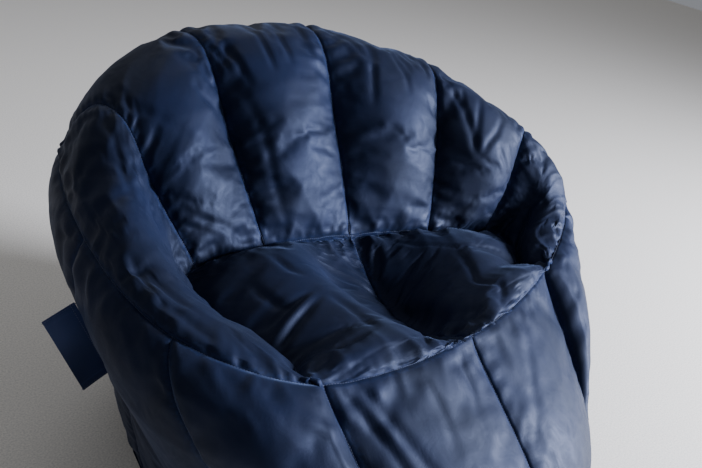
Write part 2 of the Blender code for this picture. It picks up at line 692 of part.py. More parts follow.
# ---------------- zips ----------------
def zip_set(name, length, rim_z):
    """Tapes, two halves of the closed chain, end stops and a slider whose web runs between them."""
    tape_low = rim_z + GAP
    mid = tape_low + TAPE / 2.0
    inside = WEB / 2.0 + WEB_CLEAR
    outside = inside + CHAIN_WIDTH
    half = length / 2.0
    chain_low, chain_high = mid - CHAIN_HEIGHT / 2.0, mid + CHAIN_HEIGHT / 2.0
    for side, sign in (("front", -1.0), ("rear", 1.0)):
        a, b = sorted((ZIP_Y + sign * inside, ZIP_Y + sign * outside))
        box("%s_chain_%s" % (name, side), (-half, a, chain_low), (half, b, chain_high), NYLON)
        near = outside + GAP
        a, b = sorted((ZIP_Y + sign * near, ZIP_Y + sign * (near + TAPE_WIDTH)))
        low, high = (-half - 0.006, a, tape_low), (half + 0.006, b, tape_low + TAPE)
        box("%s_tape_%s" % (name, side), low, high, TAPE_CLOTH)
    for side, sign in (("left", -1.0), ("right", 1.0)):
        a, b = sorted((sign * (half + GAP), sign * (half + 0.0045)))
        low, high = (a, ZIP_Y - outside, chain_low), (b, ZIP_Y + outside, chain_high)
        box("%s_stop_%s" % (name, side), low, high, ZINC)
    w, h = WEB / 2.0, SLIDER_HALF_WIDTH
    low_top, low = chain_low - WEB_CLEAR, chain_low - WEB_CLEAR - SLIDER_PLATE
    high_low, high = chain_high + WEB_CLEAR, chain_high + WEB_CLEAR + SLIDER_PLATE
    outline = [(-h, low), (h, low), (h, low_top), (w, low_top), (w, high_low), (h, high_low),
               (h, high), (-h, high), (-h, high_low), (-w, high_low), (-w, low_top), (-h, low_top)]
    cap = [(0, 1, 2), (0, 2, 3), (0, 3, 10), (0, 10, 11), (3, 4, 9), (3, 9, 10),
           (4, 5, 6), (4, 6, 7), (4, 7, 9), (9, 7, 8)]
    x1 = half - 0.001
    x0 = x1 - SLIDER_LENGTH
    verts = [(x0, ZIP_Y + y, z) for y, z in outline] + [(x1, ZIP_Y + y, z) for y, z in outline]
    count = len(outline)
    faces = [f[::-1] for f in cap] + [tuple(k + count for k in f) for f in cap]
    for k in range(count):
        n = (k + 1) % count
        faces += [(k, n, n + count), (k, n + count, k + count)]
    pivot = (0.5 * (x0 + x1), ZIP_Y, mid)
    add_mesh(name + "_slider", verts, faces, ZINC, pivot)


zip_set("outer_zip", OUTER_ZIP_LENGTH, OUTER_ZIP_Z)
zip_set("inner_zip", INNER_ZIP_LENGTH, INNER_ZIP_Z)

# ---------------- side label ----------------
at = np.array(-LABEL_SEAM)
root = surface(at, np.array(LABEL_V))
out = outward(at, np.array(LABEL_V))
rise = surface(at, np.array(LABEL_V + 0.05)) - surface(at, np.array(LABEL_V - 0.05))
rise -= out * (rise * out).sum()
rise /= np.linalg.norm(rise)
side = np.cross(out, rise)
pivot = root + out * (SKIN + LABEL_OFF)
verts = []
for a in (0.0, LABEL_WIDTH):
    for b in (-LABEL_LENGTH / 2.0, LABEL_LENGTH / 2.0):
        for c in (-LABEL_THICK / 2.0, LABEL_THICK / 2.0):
            verts.append(pivot + out * a + rise * b + side * c)
faces = []
for q in ((0, 1, 3, 2), (4, 6, 7, 5), (0, 4, 5, 1), (2, 3, 7, 6), (0, 2, 6, 4), (1, 5, 7, 3)):
    faces += [(q[0], q[1], q[2]), (q[0], q[2], q[3])]
add_mesh("side_label", verts, faces, LABEL_CLOTH, tuple(pivot))

for item in bpy.data.objects:
    item.location.x += CENTRE_X
    item.location.y += CENTRE_Y
bpy.context.view_layer.update()
pivot += np.array([CENTRE_X, CENTRE_Y, 0.0])
print("label pivot", [round(float(k), 5) for k in pivot], "axis", [round(float(k), 5) for k in rise])
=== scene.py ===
# Bean bag chair in navy woven polyester. Metres, +Z up, the sitter faces -Y.
import math

import bmesh
import bpy
import numpy as np
from mathutils import Matrix, Vector
from mathutils.kdtree import KDTree


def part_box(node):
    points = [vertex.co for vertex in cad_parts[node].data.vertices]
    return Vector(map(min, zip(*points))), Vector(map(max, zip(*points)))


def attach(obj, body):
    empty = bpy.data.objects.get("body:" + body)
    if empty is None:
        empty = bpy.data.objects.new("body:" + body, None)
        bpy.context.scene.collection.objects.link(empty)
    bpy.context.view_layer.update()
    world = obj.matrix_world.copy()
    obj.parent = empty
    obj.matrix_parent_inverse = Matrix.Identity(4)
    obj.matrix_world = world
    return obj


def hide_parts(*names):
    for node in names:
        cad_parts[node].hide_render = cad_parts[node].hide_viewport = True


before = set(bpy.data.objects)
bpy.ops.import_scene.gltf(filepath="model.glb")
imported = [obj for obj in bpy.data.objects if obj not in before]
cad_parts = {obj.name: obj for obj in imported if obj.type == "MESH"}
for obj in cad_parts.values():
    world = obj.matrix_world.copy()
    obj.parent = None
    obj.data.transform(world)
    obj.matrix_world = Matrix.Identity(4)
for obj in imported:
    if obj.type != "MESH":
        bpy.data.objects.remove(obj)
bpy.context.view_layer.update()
print("frame loaded,", len(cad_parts), "nodes")


# materials
def linear(hexColour):
    channels = [int(hexColour[i:i + 2], 16) / 255 for i in (0, 2, 4)]
    return tuple(c / 12.92 if c <= 0.04045 else ((c + 0.055) / 1.055) ** 2.4 for c in channels) + (1.0,)


def addNode(tree, kind, settings=None, links=None):
    node = tree.nodes.new(kind)
    for key, value in (settings or {}).items():
        if isinstance(key, str) and hasattr(node, key):
            setattr(node, key, value)
        else:
            node.inputs[key].default_value = value
    for key, source in (links or {}).items():
        tree.links.new(source, node.inputs[key])
    return node


def newMaterial(name, shaderSettings):
    made = bpy.data.materials.new(name)
    made.use_nodes = True
    shader = made.node_tree.nodes["Principled BSDF"]
    for key, value in shaderSettings.items():
        shader.inputs[key].default_value = value
    made.diffuse_color = shaderSettings["Base Color"]
    return made, made.node_tree, shader


def ramp(tree, source, low, high, start=0.0, end=1.0):
    limits = {"From Min": start, "From Max": end, "To Min": low, "To Max": high}
    return addNode(tree, "ShaderNodeMapRange", limits, {"Value": source}).outputs["Result"]


def mixColour(tree, factor, first, second):
    node = addNode(tree, "ShaderNodeMix", {"data_type": "RGBA"})
    for index, value in ((0, factor), (6, first), (7, second)):
        if isinstance(value, tuple):
            node.inputs[index].default_value = value
        else:
            tree.links.new(value, node.inputs[index])
    return node.outputs[2]


cloth = {"patchScale": 9.0, "slubScale": 260.0, "creaseScale": 34.0, "creaseBump": 0.0015,
         "creaseStrength": 0.22, "weaveStrength": 0.35, "sheenRoughness": 0.35}


def wovenCloth(name, colours, threadMm, roughness, sheen, sheenTint, bumpMm, wear=0.6, level=0.4):
    # colours: deep, body, worn; wear: below this much rubbing the worn colour shows in part
    made, tree, shader = newMaterial(name, {
        "Base Color": linear(colours[1]), "Roughness": roughness, "IOR": 1.54, "Specular IOR Level": level,
        "Specular Tint": linear("b4c6f6"), "Sheen Weight": sheen, "Sheen Roughness": cloth["sheenRoughness"],
        "Sheen Tint": linear(sheenTint)})
    place = addNode(tree, "ShaderNodeUVMap", {"uv_map": "cloth"}).outputs["UV"]
    body = addNode(tree, "ShaderNodeTexCoord").outputs["Object"]

    def noise(scale, detail, **more):
        return addNode(tree, "ShaderNodeTexNoise", {"Scale": scale, "Detail": detail, **more},
                       {"Vector": body}).outputs["Fac"]

    bands = []
    for direction in ("X", "Y"):
        wave = addNode(tree, "ShaderNodeTexWave", {
            "bands_direction": direction, "wave_profile": "SIN", "Scale": 6.2832 / (threadMm / 1000) / 20,
            "Distortion": 0.6, "Detail": 1.0, "Detail Scale": 40.0}, {"Vector": place})
        bands.append(wave.outputs["Fac"])
    weave = addNode(tree, "ShaderNodeMath", {"operation": "MAXIMUM"}, {0: bands[0], 1: bands[1]}).outputs[0]
    slub = noise(cloth["slubScale"], 3.0)
    patch = noise(cloth["patchScale"], 3.0)
    crease = noise(cloth["creaseScale"], 5.0, Roughness=0.6, Distortion=1.4)
    seam = addNode(tree, "ShaderNodeAttribute", {"attribute_name": "seam"}).outputs["Fac"]
    tone = mixColour(tree, ramp(tree, patch, 0.0, 1.0, 0.35, 0.68), linear(colours[0]), linear(colours[1]))
    rubbed = addNode(tree, "ShaderNodeMath", {"operation": "MULTIPLY"}, {0: seam, 1: slub}).outputs[0]
    tone = mixColour(tree, ramp(tree, rubbed, 0.0, wear, 0.25, 0.75), tone, linear(colours[2]))
    shade = mixColour(tree, ramp(tree, weave, 0.28, 0.0), tone, linear(colours[0]))
    tree.links.new(shade, shader.inputs["Base Color"])
    gloss = ramp(tree, crease, roughness - 0.06, roughness + 0.08, 0.3, 0.7)
    tree.links.new(gloss, shader.inputs["Roughness"])
    fine = addNode(tree, "ShaderNodeBump", {"Strength": cloth["weaveStrength"], "Distance": bumpMm / 1000},
                   {"Height": weave})
    creased = addNode(tree, "ShaderNodeBump",
                      {"Strength": cloth["creaseStrength"], "Distance": cloth["creaseBump"]},
                      {"Height": crease, "Normal": fine.outputs["Normal"]})
    tree.links.new(creased.outputs["Normal"], shader.inputs["Normal"])
    return made


# Woven polyester shell, calendered face: a soft satin gloss over dark navy, paler where it is rubbed.
# The threads are about 0.3 mm; drawn at 1.3 mm so that the weave shows.
shellCloth = wovenCloth("navyWovenPolyester", ("070c1b", "0b132b", "1d2d54"), 1.3, 0.58, 0.16, "8ba0cc", 0.12,
                        level=0.28)
# Nonwoven lining: dull charcoal felted sheet.
liningCloth = wovenCloth("charcoalNonwovenLining", ("17181c", "212329", "2e3138"), 1.6, 0.85, 0.15, "9a9fa8",
                         0.15, wear=0.2)
# Zip tape: black twill, flat and dull.
tapeCloth = wovenCloth("blackZipTwill", ("0c0c0e", "141417", "26262b"), 0.9, 0.72, 0.20, "9a9aa5", 0.10,
                       wear=0.4)
# Label: woven polyester satin, smoother and a little glossier than the shell.
labelCloth = wovenCloth("labelWovenSatin", ("0f1730", "18244a", "2b3a66"), 0.7, 0.36, 0.25, "a9b8e0", 0.06,
                        wear=0.5)


def plainFinish(name, colour, settings, grainMm, bump):
    made, tree, shader = newMaterial(name, {"Base Color": linear(colour), **settings})
    body = addNode(tree, "ShaderNodeTexCoord").outputs["Object"]
    grain = addNode(tree, "ShaderNodeTexNoise", {"Scale": 1000 / grainMm, "Detail": 4.0},
                    {"Vector": body}).outputs["Fac"]
    base = linear(colour)
    deep = tuple(c * 0.72 for c in base[:3]) + (1.0,)
    tone = mixColour(tree, ramp(tree, grain, 0.0, 1.0, 0.3, 0.7), deep, base)
    tree.links.new(tone, shader.inputs["Base Color"])
    rough = settings["Roughness"]
    tree.links.new(ramp(tree, grain, rough - 0.07, rough + 0.09, 0.3, 0.7), shader.inputs["Roughness"])
    relief = addNode(tree, "ShaderNodeBump", {"Strength": 0.4, "Distance": bump}, {"Height": grain})
    tree.links.new(relief.outputs["Normal"], shader.inputs["Normal"])
    return made


# Expanded polystyrene beads: white, matt, pebbled, with painted shade greying each bead towards its rim and in
# the gaps between beads.
def beadFinish():
    made, tree, shader = newMaterial("expandedPolystyreneBeads", {
        "Base Color": linear("e9e8e2"), "Roughness": 0.78, "IOR": 1.45, "Subsurface Weight": 0.12})
    body = addNode(tree, "ShaderNodeTexCoord").outputs["Object"]
    cells = addNode(tree, "ShaderNodeTexVoronoi", {"Scale": 230.0}, {"Vector": body})     # 4 mm beads
    # painted shade: the bead colour greys from each bead's centre to its rim and into the gaps between beads
    tree.links.new(mixColour(tree, ramp(tree, cells.outputs["Distance"], 0.0, 0.8, 0.15, 0.75),
                             linear("efeee9"), linear("b9b8b0")), shader.inputs["Base Color"])
    relief = addNode(tree, "ShaderNodeBump", {"Strength": 0.9, "Distance": 0.002, "invert": True},
                     {"Height": cells.outputs["Distance"]})
    tree.links.new(relief.outputs["Normal"], shader.inputs["Normal"])
    return made


beadMaterial = beadFinish()
# Spun polyester thread, twisted: slightly paler than the cloth so the stitches read.
threadMaterial = plainFinish("navySpunThread", "24345c", {"Roughness": 0.55, "Sheen Weight": 0.3, "IOR": 1.54},
                             0.4, 0.0002)
# Nylon coil, moulded monofilament: smooth with a low gloss.
nylonMaterial = plainFinish("blackNylonCoil", "17171a", {"Roughness": 0.38, "IOR": 1.53}, 0.5, 0.00005)
# Zinc die casting, black nickel plated: dark, glossy, slightly grained.
zincMaterial = plainFinish("blackNickelZinc", "4a4a50", {"Roughness": 0.30, "Metallic": 1.0}, 0.8, 0.00004)
print("materials made")

# shape of the bag
bag = {
    "halfWidth": 0.406, "backHeight": 0.611, "backReach": 0.353, "frontReach": 0.237, "seatEdge": 0.351,
    "crownBack": 0.424, "baseHalfWidth": 0.317, "baseBack": 0.297, "baseFront": 0.325, "baseSeam": 0.022,
    "bellyHeight": 0.162, "bellyHalfWidth": 0.347, "bellyBack": 0.384, "bellyFront": 0.427,
    "topHalfWidth": 0.364, "topBack": 0.224, "topFront": 0.181, "innerHalfWidth": 0.325, "innerBack": 0.114,
    "creaseHalfWidth": 0.279, "creaseBack": 0.037, "creaseHeightBack": 0.350, "creaseHeightFront": 0.327,
    "armRoll": 0.217, "cornerLength": 0.16, "squareness": 0.929, "channelPuff": 0.040, "armPuff": 0.010,
    "wallPuff": 0.007, "seatPuff": 0.054, "seatValley": 0.066, "shear": 0.117, "sag": 0.026,
    "corner": 34.0, "side": 66.0, "label": 92.0, "arm": 115.0, "channel": 150.5,      # seams, degrees
    "rimHollow": -0.12, "rimStart": 2.92, "centre": (0.01957, 0.01588),
}
wallSeams = [0.0, bag["corner"], bag["side"], bag["label"], 180.0]
wallSeams = [-seam for seam in wallSeams[:0:-1]] + wallSeams
rollSeams = [bag["corner"], bag["arm"], bag["channel"], 180.0]
rollSeams = [-seam for seam in rollSeams[::-1]] + rollSeams


def ease(t):
    t = np.clip(t, 0.0, 1.0)
    return t * t * (3.0 - 2.0 * t)


def length(vectors):
    return np.maximum(np.linalg.norm(vectors, axis=-1)[..., None], 1e-9)


def settle(points):
    x, y, z = points[..., 0], points[..., 1], points[..., 2]
    front = ease((0.05 - y) / 0.3) * ease(z / 0.25)
    back = ease((y + 0.1) / 0.3) * ease(z / 0.45)
    out = np.array(points)
    out[..., 1] += 2.0 * bag["shear"] * x * (front - back)
    out[..., 2] -= 2.0 * bag["sag"] * x * back
    return out


def sectionPoints(phi):
    h = np.clip((np.abs(phi) - bag["corner"]) / (180.0 - bag["corner"]), 0.0, 1.0)
    rise, swell = ease(h), ease(h / bag["cornerLength"])[..., None]
    across, along = np.sin(np.radians(phi)), np.cos(np.radians(phi))

    def ring(halfWidth, back, front, z):
        reach = np.where(along > 0.0, front, back)
        x = halfWidth * np.sign(across) * np.abs(across) ** bag["squareness"]
        y = -reach * np.sign(along) * np.abs(along) ** bag["squareness"]
        return np.stack([x, y, np.broadcast_to(z, x.shape)], -1)

    low = ring(bag["baseHalfWidth"], bag["baseBack"], bag["baseFront"], bag["baseSeam"])
    belly = ring(bag["bellyHalfWidth"], bag["bellyBack"], bag["bellyFront"], bag["bellyHeight"])
    crown = ring(bag["halfWidth"], bag["backReach"], bag["frontReach"],
                 bag["seatEdge"] + (bag["crownBack"] - bag["seatEdge"]) * rise ** 0.4)
    crease = ring(bag["creaseHalfWidth"], bag["creaseBack"], bag["frontReach"],
                  bag["creaseHeightFront"] + (bag["creaseHeightBack"] - bag["creaseHeightFront"]) * rise)
    crease = crown + (crease - crown) * swell
    topHeight = bag["seatEdge"] + (bag["backHeight"] - bag["seatEdge"]) * rise
    top = ring(bag["topHalfWidth"], bag["topBack"], bag["topFront"], topHeight)
    top = crown + (top - crown) * swell
    top[..., 2] += bag["armRoll"] * np.linalg.norm((crown - crease)[..., :2], axis=-1) * (1.0 - h) ** 2
    inner = ring(bag["innerHalfWidth"], bag["innerBack"], bag["topFront"], topHeight)
    inner = crown + (inner - crown) * swell
    inner[..., 2] = 0.5 * top[..., 2] + 0.5 * crease[..., 2]
    return np.stack([low, belly, crown, top, inner, crease], -2)


def smoothSection(phi, v):
    knots = sectionPoints(phi)
    run = knots[..., 1:, :] - knots[..., :-1, :]
    size = length(run)
    unit = run / size
    turn = unit[..., :-1, :] * size[..., 1:, :] + unit[..., 1:, :] * size[..., :-1, :]
    turn = np.concatenate([unit[..., :1, :], turn / length(turn), unit[..., -1:, :]], -2)
    v = np.clip(v, 0.0, 5.0)
    cell = np.minimum(v.astype(int), 4)
    u = (v - cell)[..., None]

    def pick(table, shift):
        index = np.broadcast_to((cell + shift)[..., None, None], cell.shape + (1, table.shape[-1]))
        return np.take_along_axis(table, index, -2)[..., 0, :]

    reach = pick(size, 0)
    curve = (2 * u ** 3 - 3 * u ** 2 + 1) * pick(knots, 0) + (3 * u ** 2 - 2 * u ** 3) * pick(knots, 1)
    curve += (u ** 3 - 2 * u ** 2 + u) * pick(turn, 0) * reach + (u ** 3 - u ** 2) * pick(turn, 1) * reach
    return settle(curve)


def outward(phi, v):
    phi, v = np.broadcast_arrays(np.asarray(phi, float), np.asarray(v, float))
    roundIt = smoothSection(phi + 0.6, v) - smoothSection(phi - 0.6, v)
    upIt = smoothSection(phi, np.minimum(v + 0.03, 5.0)) - smoothSection(phi, np.maximum(v - 0.03, 0.0))
    n = np.cross(roundIt, upIt)
    return n / np.maximum(np.linalg.norm(n, axis=-1)[..., None], 1e-12)


def between(phi, seams):
    seams = np.asarray(seams)
    k = np.clip(np.searchsorted(seams, phi, side="right") - 1, 0, len(seams) - 2)
    return 1.0 - np.abs(2.0 * (phi - seams[k]) / (seams[k + 1] - seams[k]) - 1.0) ** 2.1


def surface(phi, v):
    phi, v = np.broadcast_arrays(np.asarray(phi, float), np.asarray(v, float))
    wall = bag["wallPuff"] * between(phi, wallSeams) * np.sin(np.pi * np.clip(v, 0, 2) / 2.0)
    rollPuff = np.where(np.abs(phi) > bag["arm"], bag["channelPuff"], bag["armPuff"])
    rollPuff = rollPuff * between(phi, rollSeams)
    rollPuff = rollPuff * np.sin(np.pi * np.clip((v - 2.0) / 3.0, 0.0, 1.0)) ** 0.9
    fullness = bag["rimHollow"] + (1.0 - bag["rimHollow"]) * ease(v - bag["rimStart"])
    rollPuff = np.where(np.abs(phi) > bag["corner"], rollPuff, 0.0) * fullness
    points = smoothSection(phi, v) + outward(phi, v) * (wall + rollPuff)[..., None]
    return points + np.array([*bag["centre"], 0.0])


def seatSurface(phis, across):
    rims = {}
    for side in (-1.0, 1.0):
        rims[side] = surface(side * phis, np.where(phis <= bag["corner"], 2.0, 5.0))
    front = 0.5 * (rims[-1.0][0] + rims[1.0][0])
    rear = 0.5 * (rims[-1.0][-1] + rims[1.0][-1])
    t = ease(phis / 180.0) * 0.5 + 0.5 * phis / 180.0
    arch = np.maximum(np.sin(np.pi * t), 0.0) ** 1.1
    middle = front + (rear - front) * t[:, None]
    middle[:, 2] -= bag["seatValley"] * arch
    rows = np.zeros((len(phis), len(across), 3))
    for j, w in enumerate(across):
        rim = rims[-1.0 if w < 0.0 else 1.0]
        rows[:, j] = middle + (rim - middle) * abs(w)
        rows[:, j, 2] += bag["seatPuff"] * np.sin(np.pi * abs(w)) * arch
    return rows


# one connected cover, grid by grid
grid = {"cornerCols": 26, "sideCols": 24, "labelCols": 20, "armCols": 18, "outerCols": 28, "innerCols": 24,
        "wallRows": 50, "topRows": 26, "innerRows": 20, "footRows": 20, "seatAcross": 30}


def spread(start, end, count):
    return np.linspace(start, end, count + 1)


stops = [0.0, bag["corner"], bag["side"], bag["label"], bag["arm"], bag["channel"], 180.0]
counts = [grid[k] for k in ("cornerCols", "sideCols", "labelCols", "armCols", "outerCols", "innerCols")]
halfPhis = np.concatenate([[0.0]] + [spread(a, b, n)[1:] for a, b, n in zip(stops, stops[1:], counts)])
seamNames = ("middle", "corner", "side", "label", "arm", "channel", "back")
seamColumn = dict(zip(seamNames, np.cumsum([0] + counts)))
halfCount = len(halfPhis) - 1
phis = np.concatenate([-halfPhis[:0:-1], halfPhis[:-1]])       # a loop that starts at the centre back
wallV = spread(0.0, 2.0, grid["wallRows"])
rollV = np.concatenate([spread(2.0, 3.0, grid["topRows"]), spread(3.0, 4.0, grid["innerRows"])[1:],
                        spread(4.0, 5.0, grid["footRows"])[1:]])
columnCount, wallCount, rollCount = len(phis), len(wallV), len(rollV)


def column(side, halfIndex):
    return (halfCount + side * halfIndex) % columnCount


wallIds = np.arange(columnCount * wallCount).reshape(columnCount, wallCount)
coverPoints = [surface(*np.meshgrid(phis, wallV, indexing="ij")).reshape(-1, 3)]
nextId = columnCount * wallCount
rollIds = np.full((columnCount, rollCount), -1)
rollIds[:, 0] = wallIds[:, -1]
for i, phi in enumerate(phis):
    if abs(phi) <= bag["corner"] + 1e-6:
        rollIds[i] = wallIds[i, -1]
    else:
        rollIds[i, 1:] = np.arange(nextId, nextId + rollCount - 1)
        nextId += rollCount - 1
        coverPoints.append(surface(np.full(rollCount - 1, phi), rollV[1:]))
acrossHalf = spread(0.0, 1.0, grid["seatAcross"])
across = np.concatenate([-acrossHalf[:0:-1], acrossHalf])
seatPoints = seatSurface(halfPhis, across)
seatIds = np.full((halfCount + 1, len(across)), -1)
for i in range(halfCount + 1):
    rimRow = 0 if halfPhis[i] <= bag["corner"] + 1e-6 else rollCount - 1
    seatIds[i, 0] = rollIds[column(-1, i), rimRow]
    seatIds[i, -1] = rollIds[column(1, i), rimRow]
    if i in (0, halfCount):
        seatIds[i] = seatIds[i, 0]
    else:
        seatIds[i, 1:-1] = np.arange(nextId, nextId + len(across) - 2)
        nextId += len(across) - 2
        coverPoints.append(seatPoints[i, 1:-1])
restPoints = np.concatenate(coverPoints)


def quadsOf(ids):
    quads = np.stack([ids[:-1, :-1], ids[1:, :-1], ids[1:, 1:], ids[:-1, 1:]], -1).reshape(-1, 4)
    faces = []
    for quad in quads:
        face = [int(k) for n, k in enumerate(quad) if k != quad[n - 1]]
        if len(set(face)) > 2 and len(set(face)) == len(face):
            faces.append(face)
    return faces


def columnsBetween(side, first, last):
    steps = range(seamColumn[first], seamColumn[last] + 1)
    found = [column(side, k) for k in steps]
    return found if side > 0 else found[::-1]


wallLoop = np.concatenate([wallIds, wallIds[:1]])
rollLoop = np.concatenate([rollIds, rollIds[:1]])
middle = len(across) // 2
# name: (ids of its grid, kind)
panels = {}
for side, word in ((-1, "left"), (1, "right")):
    for name, first, last in (("front_panel", "middle", "corner"), ("side_front_panel", "corner", "side"),
                              ("side_rear_panel", "side", "label"), ("back_panel", "label", "back")):
        panels[name + "_" + word] = (columnsBetween(side, first, last), "wall")
    panels["arm_band_" + word] = (columnsBetween(side, "corner", "arm"), "roll")
panels["back_channel_1"] = (columnsBetween(-1, "arm", "channel"), "roll")
panels["back_channel_2"] = (columnsBetween(-1, "channel", "back"), "roll")
panels["back_channel_3"] = (columnsBetween(1, "channel", "back"), "roll")
panels["back_channel_4"] = (columnsBetween(1, "arm", "channel"), "roll")

# cloth simulation: seams held, the cloth between them a little too large and blown out
inflate = {"frames": 18, "pressure": 3.0, "excess": 0.030, "bulgeLimit": 0.008, "bulgeShare": 0.35,
           "wrinkleShare": 0.75, "wrinkleLimit": 0.005, "bend": 1.2, "spread": 40,
           "wallCalm": 0.6}


def seamPins():
    pins = set(wallIds[:, 0]) | set(wallIds[:, -1]) | set(rollIds[:, -1]) | set(seatIds[:, middle])
    for side in (-1, 1):
        for name in ("middle", "corner", "side", "label", "back"):
            pins |= set(wallIds[column(side, seamColumn[name])])
        for name in ("corner", "arm", "channel", "back"):
            pins |= set(rollIds[column(side, seamColumn[name])])
        for k in range(seamColumn["corner"], seamColumn["corner"] + 4):
            pins |= set(rollIds[column(side, k)])
    return sorted(int(k) for k in pins if k >= 0)


def simulateCover():
    mesh = bpy.data.meshes.new("coverCloth")
    mesh.from_pydata(restPoints.tolist(), [], coverFaces)
    mesh.update()
    cover = bpy.data.objects.new("coverCloth", mesh)
    bpy.context.scene.collection.objects.link(cover)
    cover.vertex_groups.new(name="held").add(seamPins(), 1.0, "REPLACE")
    cloth = cover.modifiers.new("blowOut", "CLOTH")
    setting = cloth.settings
    setting.quality = 5
    setting.mass = 0.25
    setting.tension_stiffness = setting.compression_stiffness = 25.0
    setting.shear_stiffness = 8.0
    setting.bending_stiffness = inflate["bend"]
    setting.air_damping = 2.0
    setting.use_pressure = True
    setting.uniform_pressure_force = inflate["pressure"]
    setting.vertex_group_mass = "held"
    setting.pin_stiffness = 1.0
    setting.shrink_min = -inflate["excess"]
    setting.effector_weights.gravity = 0.0
    cloth.collision_settings.use_collision = False
    cloth.point_cache.frame_start = 1
    cloth.point_cache.frame_end = inflate["frames"]
    scene = bpy.context.scene
    for number in range(1, inflate["frames"] + 1):
        scene.frame_set(number)
    graph = bpy.context.evaluated_depsgraph_get()
    result = cover.evaluated_get(graph).to_mesh()
    moved = np.zeros(len(result.vertices) * 3)
    result.vertices.foreach_get("co", moved)
    scene.frame_set(1)
    edges = np.array([e.vertices[:] for e in mesh.edges])
    bpy.data.objects.remove(cover, do_unlink=True)
    return moved.reshape(-1, 3) - restPoints, edges


def slowPart(shift, edges, rounds):
    held = np.zeros(len(shift), bool)
    held[seamPins()] = True
    count = np.bincount(edges.ravel(), minlength=len(shift))[:, None]
    smooth = shift.copy()
    for _ in range(rounds):
        total = np.zeros_like(smooth)
        for axis in range(3):
            total[:, axis] = (np.bincount(edges[:, 0], smooth[edges[:, 1], axis], len(shift))
                              + np.bincount(edges[:, 1], smooth[edges[:, 0], axis], len(shift)))
        smooth = np.where(held[:, None], 0.0, 0.5 * smooth + 0.5 * total / np.maximum(count, 1))
    return smooth


coverFaces = quadsOf(wallLoop) + quadsOf(rollLoop) + [f[::-1] for f in quadsOf(seatIds)]


def vertexNormals(points, faces):
    total = np.zeros_like(points)
    for corners in (3, 4):
        group = np.array([face for face in faces if len(face) == corners])
        first, second = points[group[:, 2]] - points[group[:, 0]], points[group[:, -1]] - points[group[:, 1]]
        turn = np.cross(first, second)
        for k in range(corners):
            np.add.at(total, group[:, k], turn)
    return total / length(total)


coverShape = restPoints.copy()
shift, edges = simulateCover()
bulge = slowPart(shift, edges, inflate["spread"])
size = length(bulge)
limit = inflate["bulgeLimit"]
calm = bulge * inflate["bulgeShare"]
calmSize = size * inflate["bulgeShare"]
calm *= np.minimum(1.0, limit * np.tanh(calmSize / limit) / calmSize)
wrinkle = (shift - bulge) * inflate["wrinkleShare"]
wrinkleSize = length(wrinkle)
wrinkle *= inflate["wrinkleLimit"] * np.tanh(wrinkleSize / inflate["wrinkleLimit"]) / wrinkleSize
onWall = np.zeros(len(restPoints), bool)
onWall[wallIds] = True
wrinkle[onWall] *= inflate["wallCalm"]
coverShape = restPoints + calm + wrinkle
print("cloth blown out, moved up to %.1f mm" % (1000 * np.abs(coverShape - restPoints).max()))


coverNormals = vertexNormals(coverShape, coverFaces)


# finer grids, gathers, folds
def refine(points):
    for axis in (0, 1):
        p = np.moveaxis(points, axis, 0)
        padded = np.concatenate([2 * p[:1] - p[1:2], p, 2 * p[-1:] - p[-2:-1]])
        half = (-padded[:-3] + 9 * padded[1:-2] + 9 * padded[2:-1] - padded[3:]) / 16
        out = np.zeros((2 * len(p) - 1,) + p.shape[1:])
        out[::2], out[1::2] = p, half
        points = np.moveaxis(out, 0, axis)
    return points


def runAlong(points, axis):
    steps = np.linalg.norm(np.diff(points, axis=axis), axis=-1)
    shape = list(steps.shape)
    shape[axis] = 1
    return np.concatenate([np.zeros(shape), np.cumsum(steps, axis)], axis)


def ripple(along, away, seed, longest=0.055, shortest=0.012):
    random = np.random.default_rng(seed)
    total = np.zeros_like(along)
    for _ in range(9):
        wave = shortest * (longest / shortest) ** random.random()
        lean = random.uniform(-0.5, 0.5)
        phase, drift = random.uniform(0, 6.283, 2)
        patch = 0.5 + 0.5 * np.sin(along / random.uniform(0.09, 0.22) + drift)
        crest = 1.0 - np.abs(np.sin((along + lean * away) * np.pi / wave + phase)) * 2.0
        total += crest * patch * wave * np.exp(-away / (wave * 1.3))
    return total * 0.034 * (1.0 - np.exp(-away / 0.004))


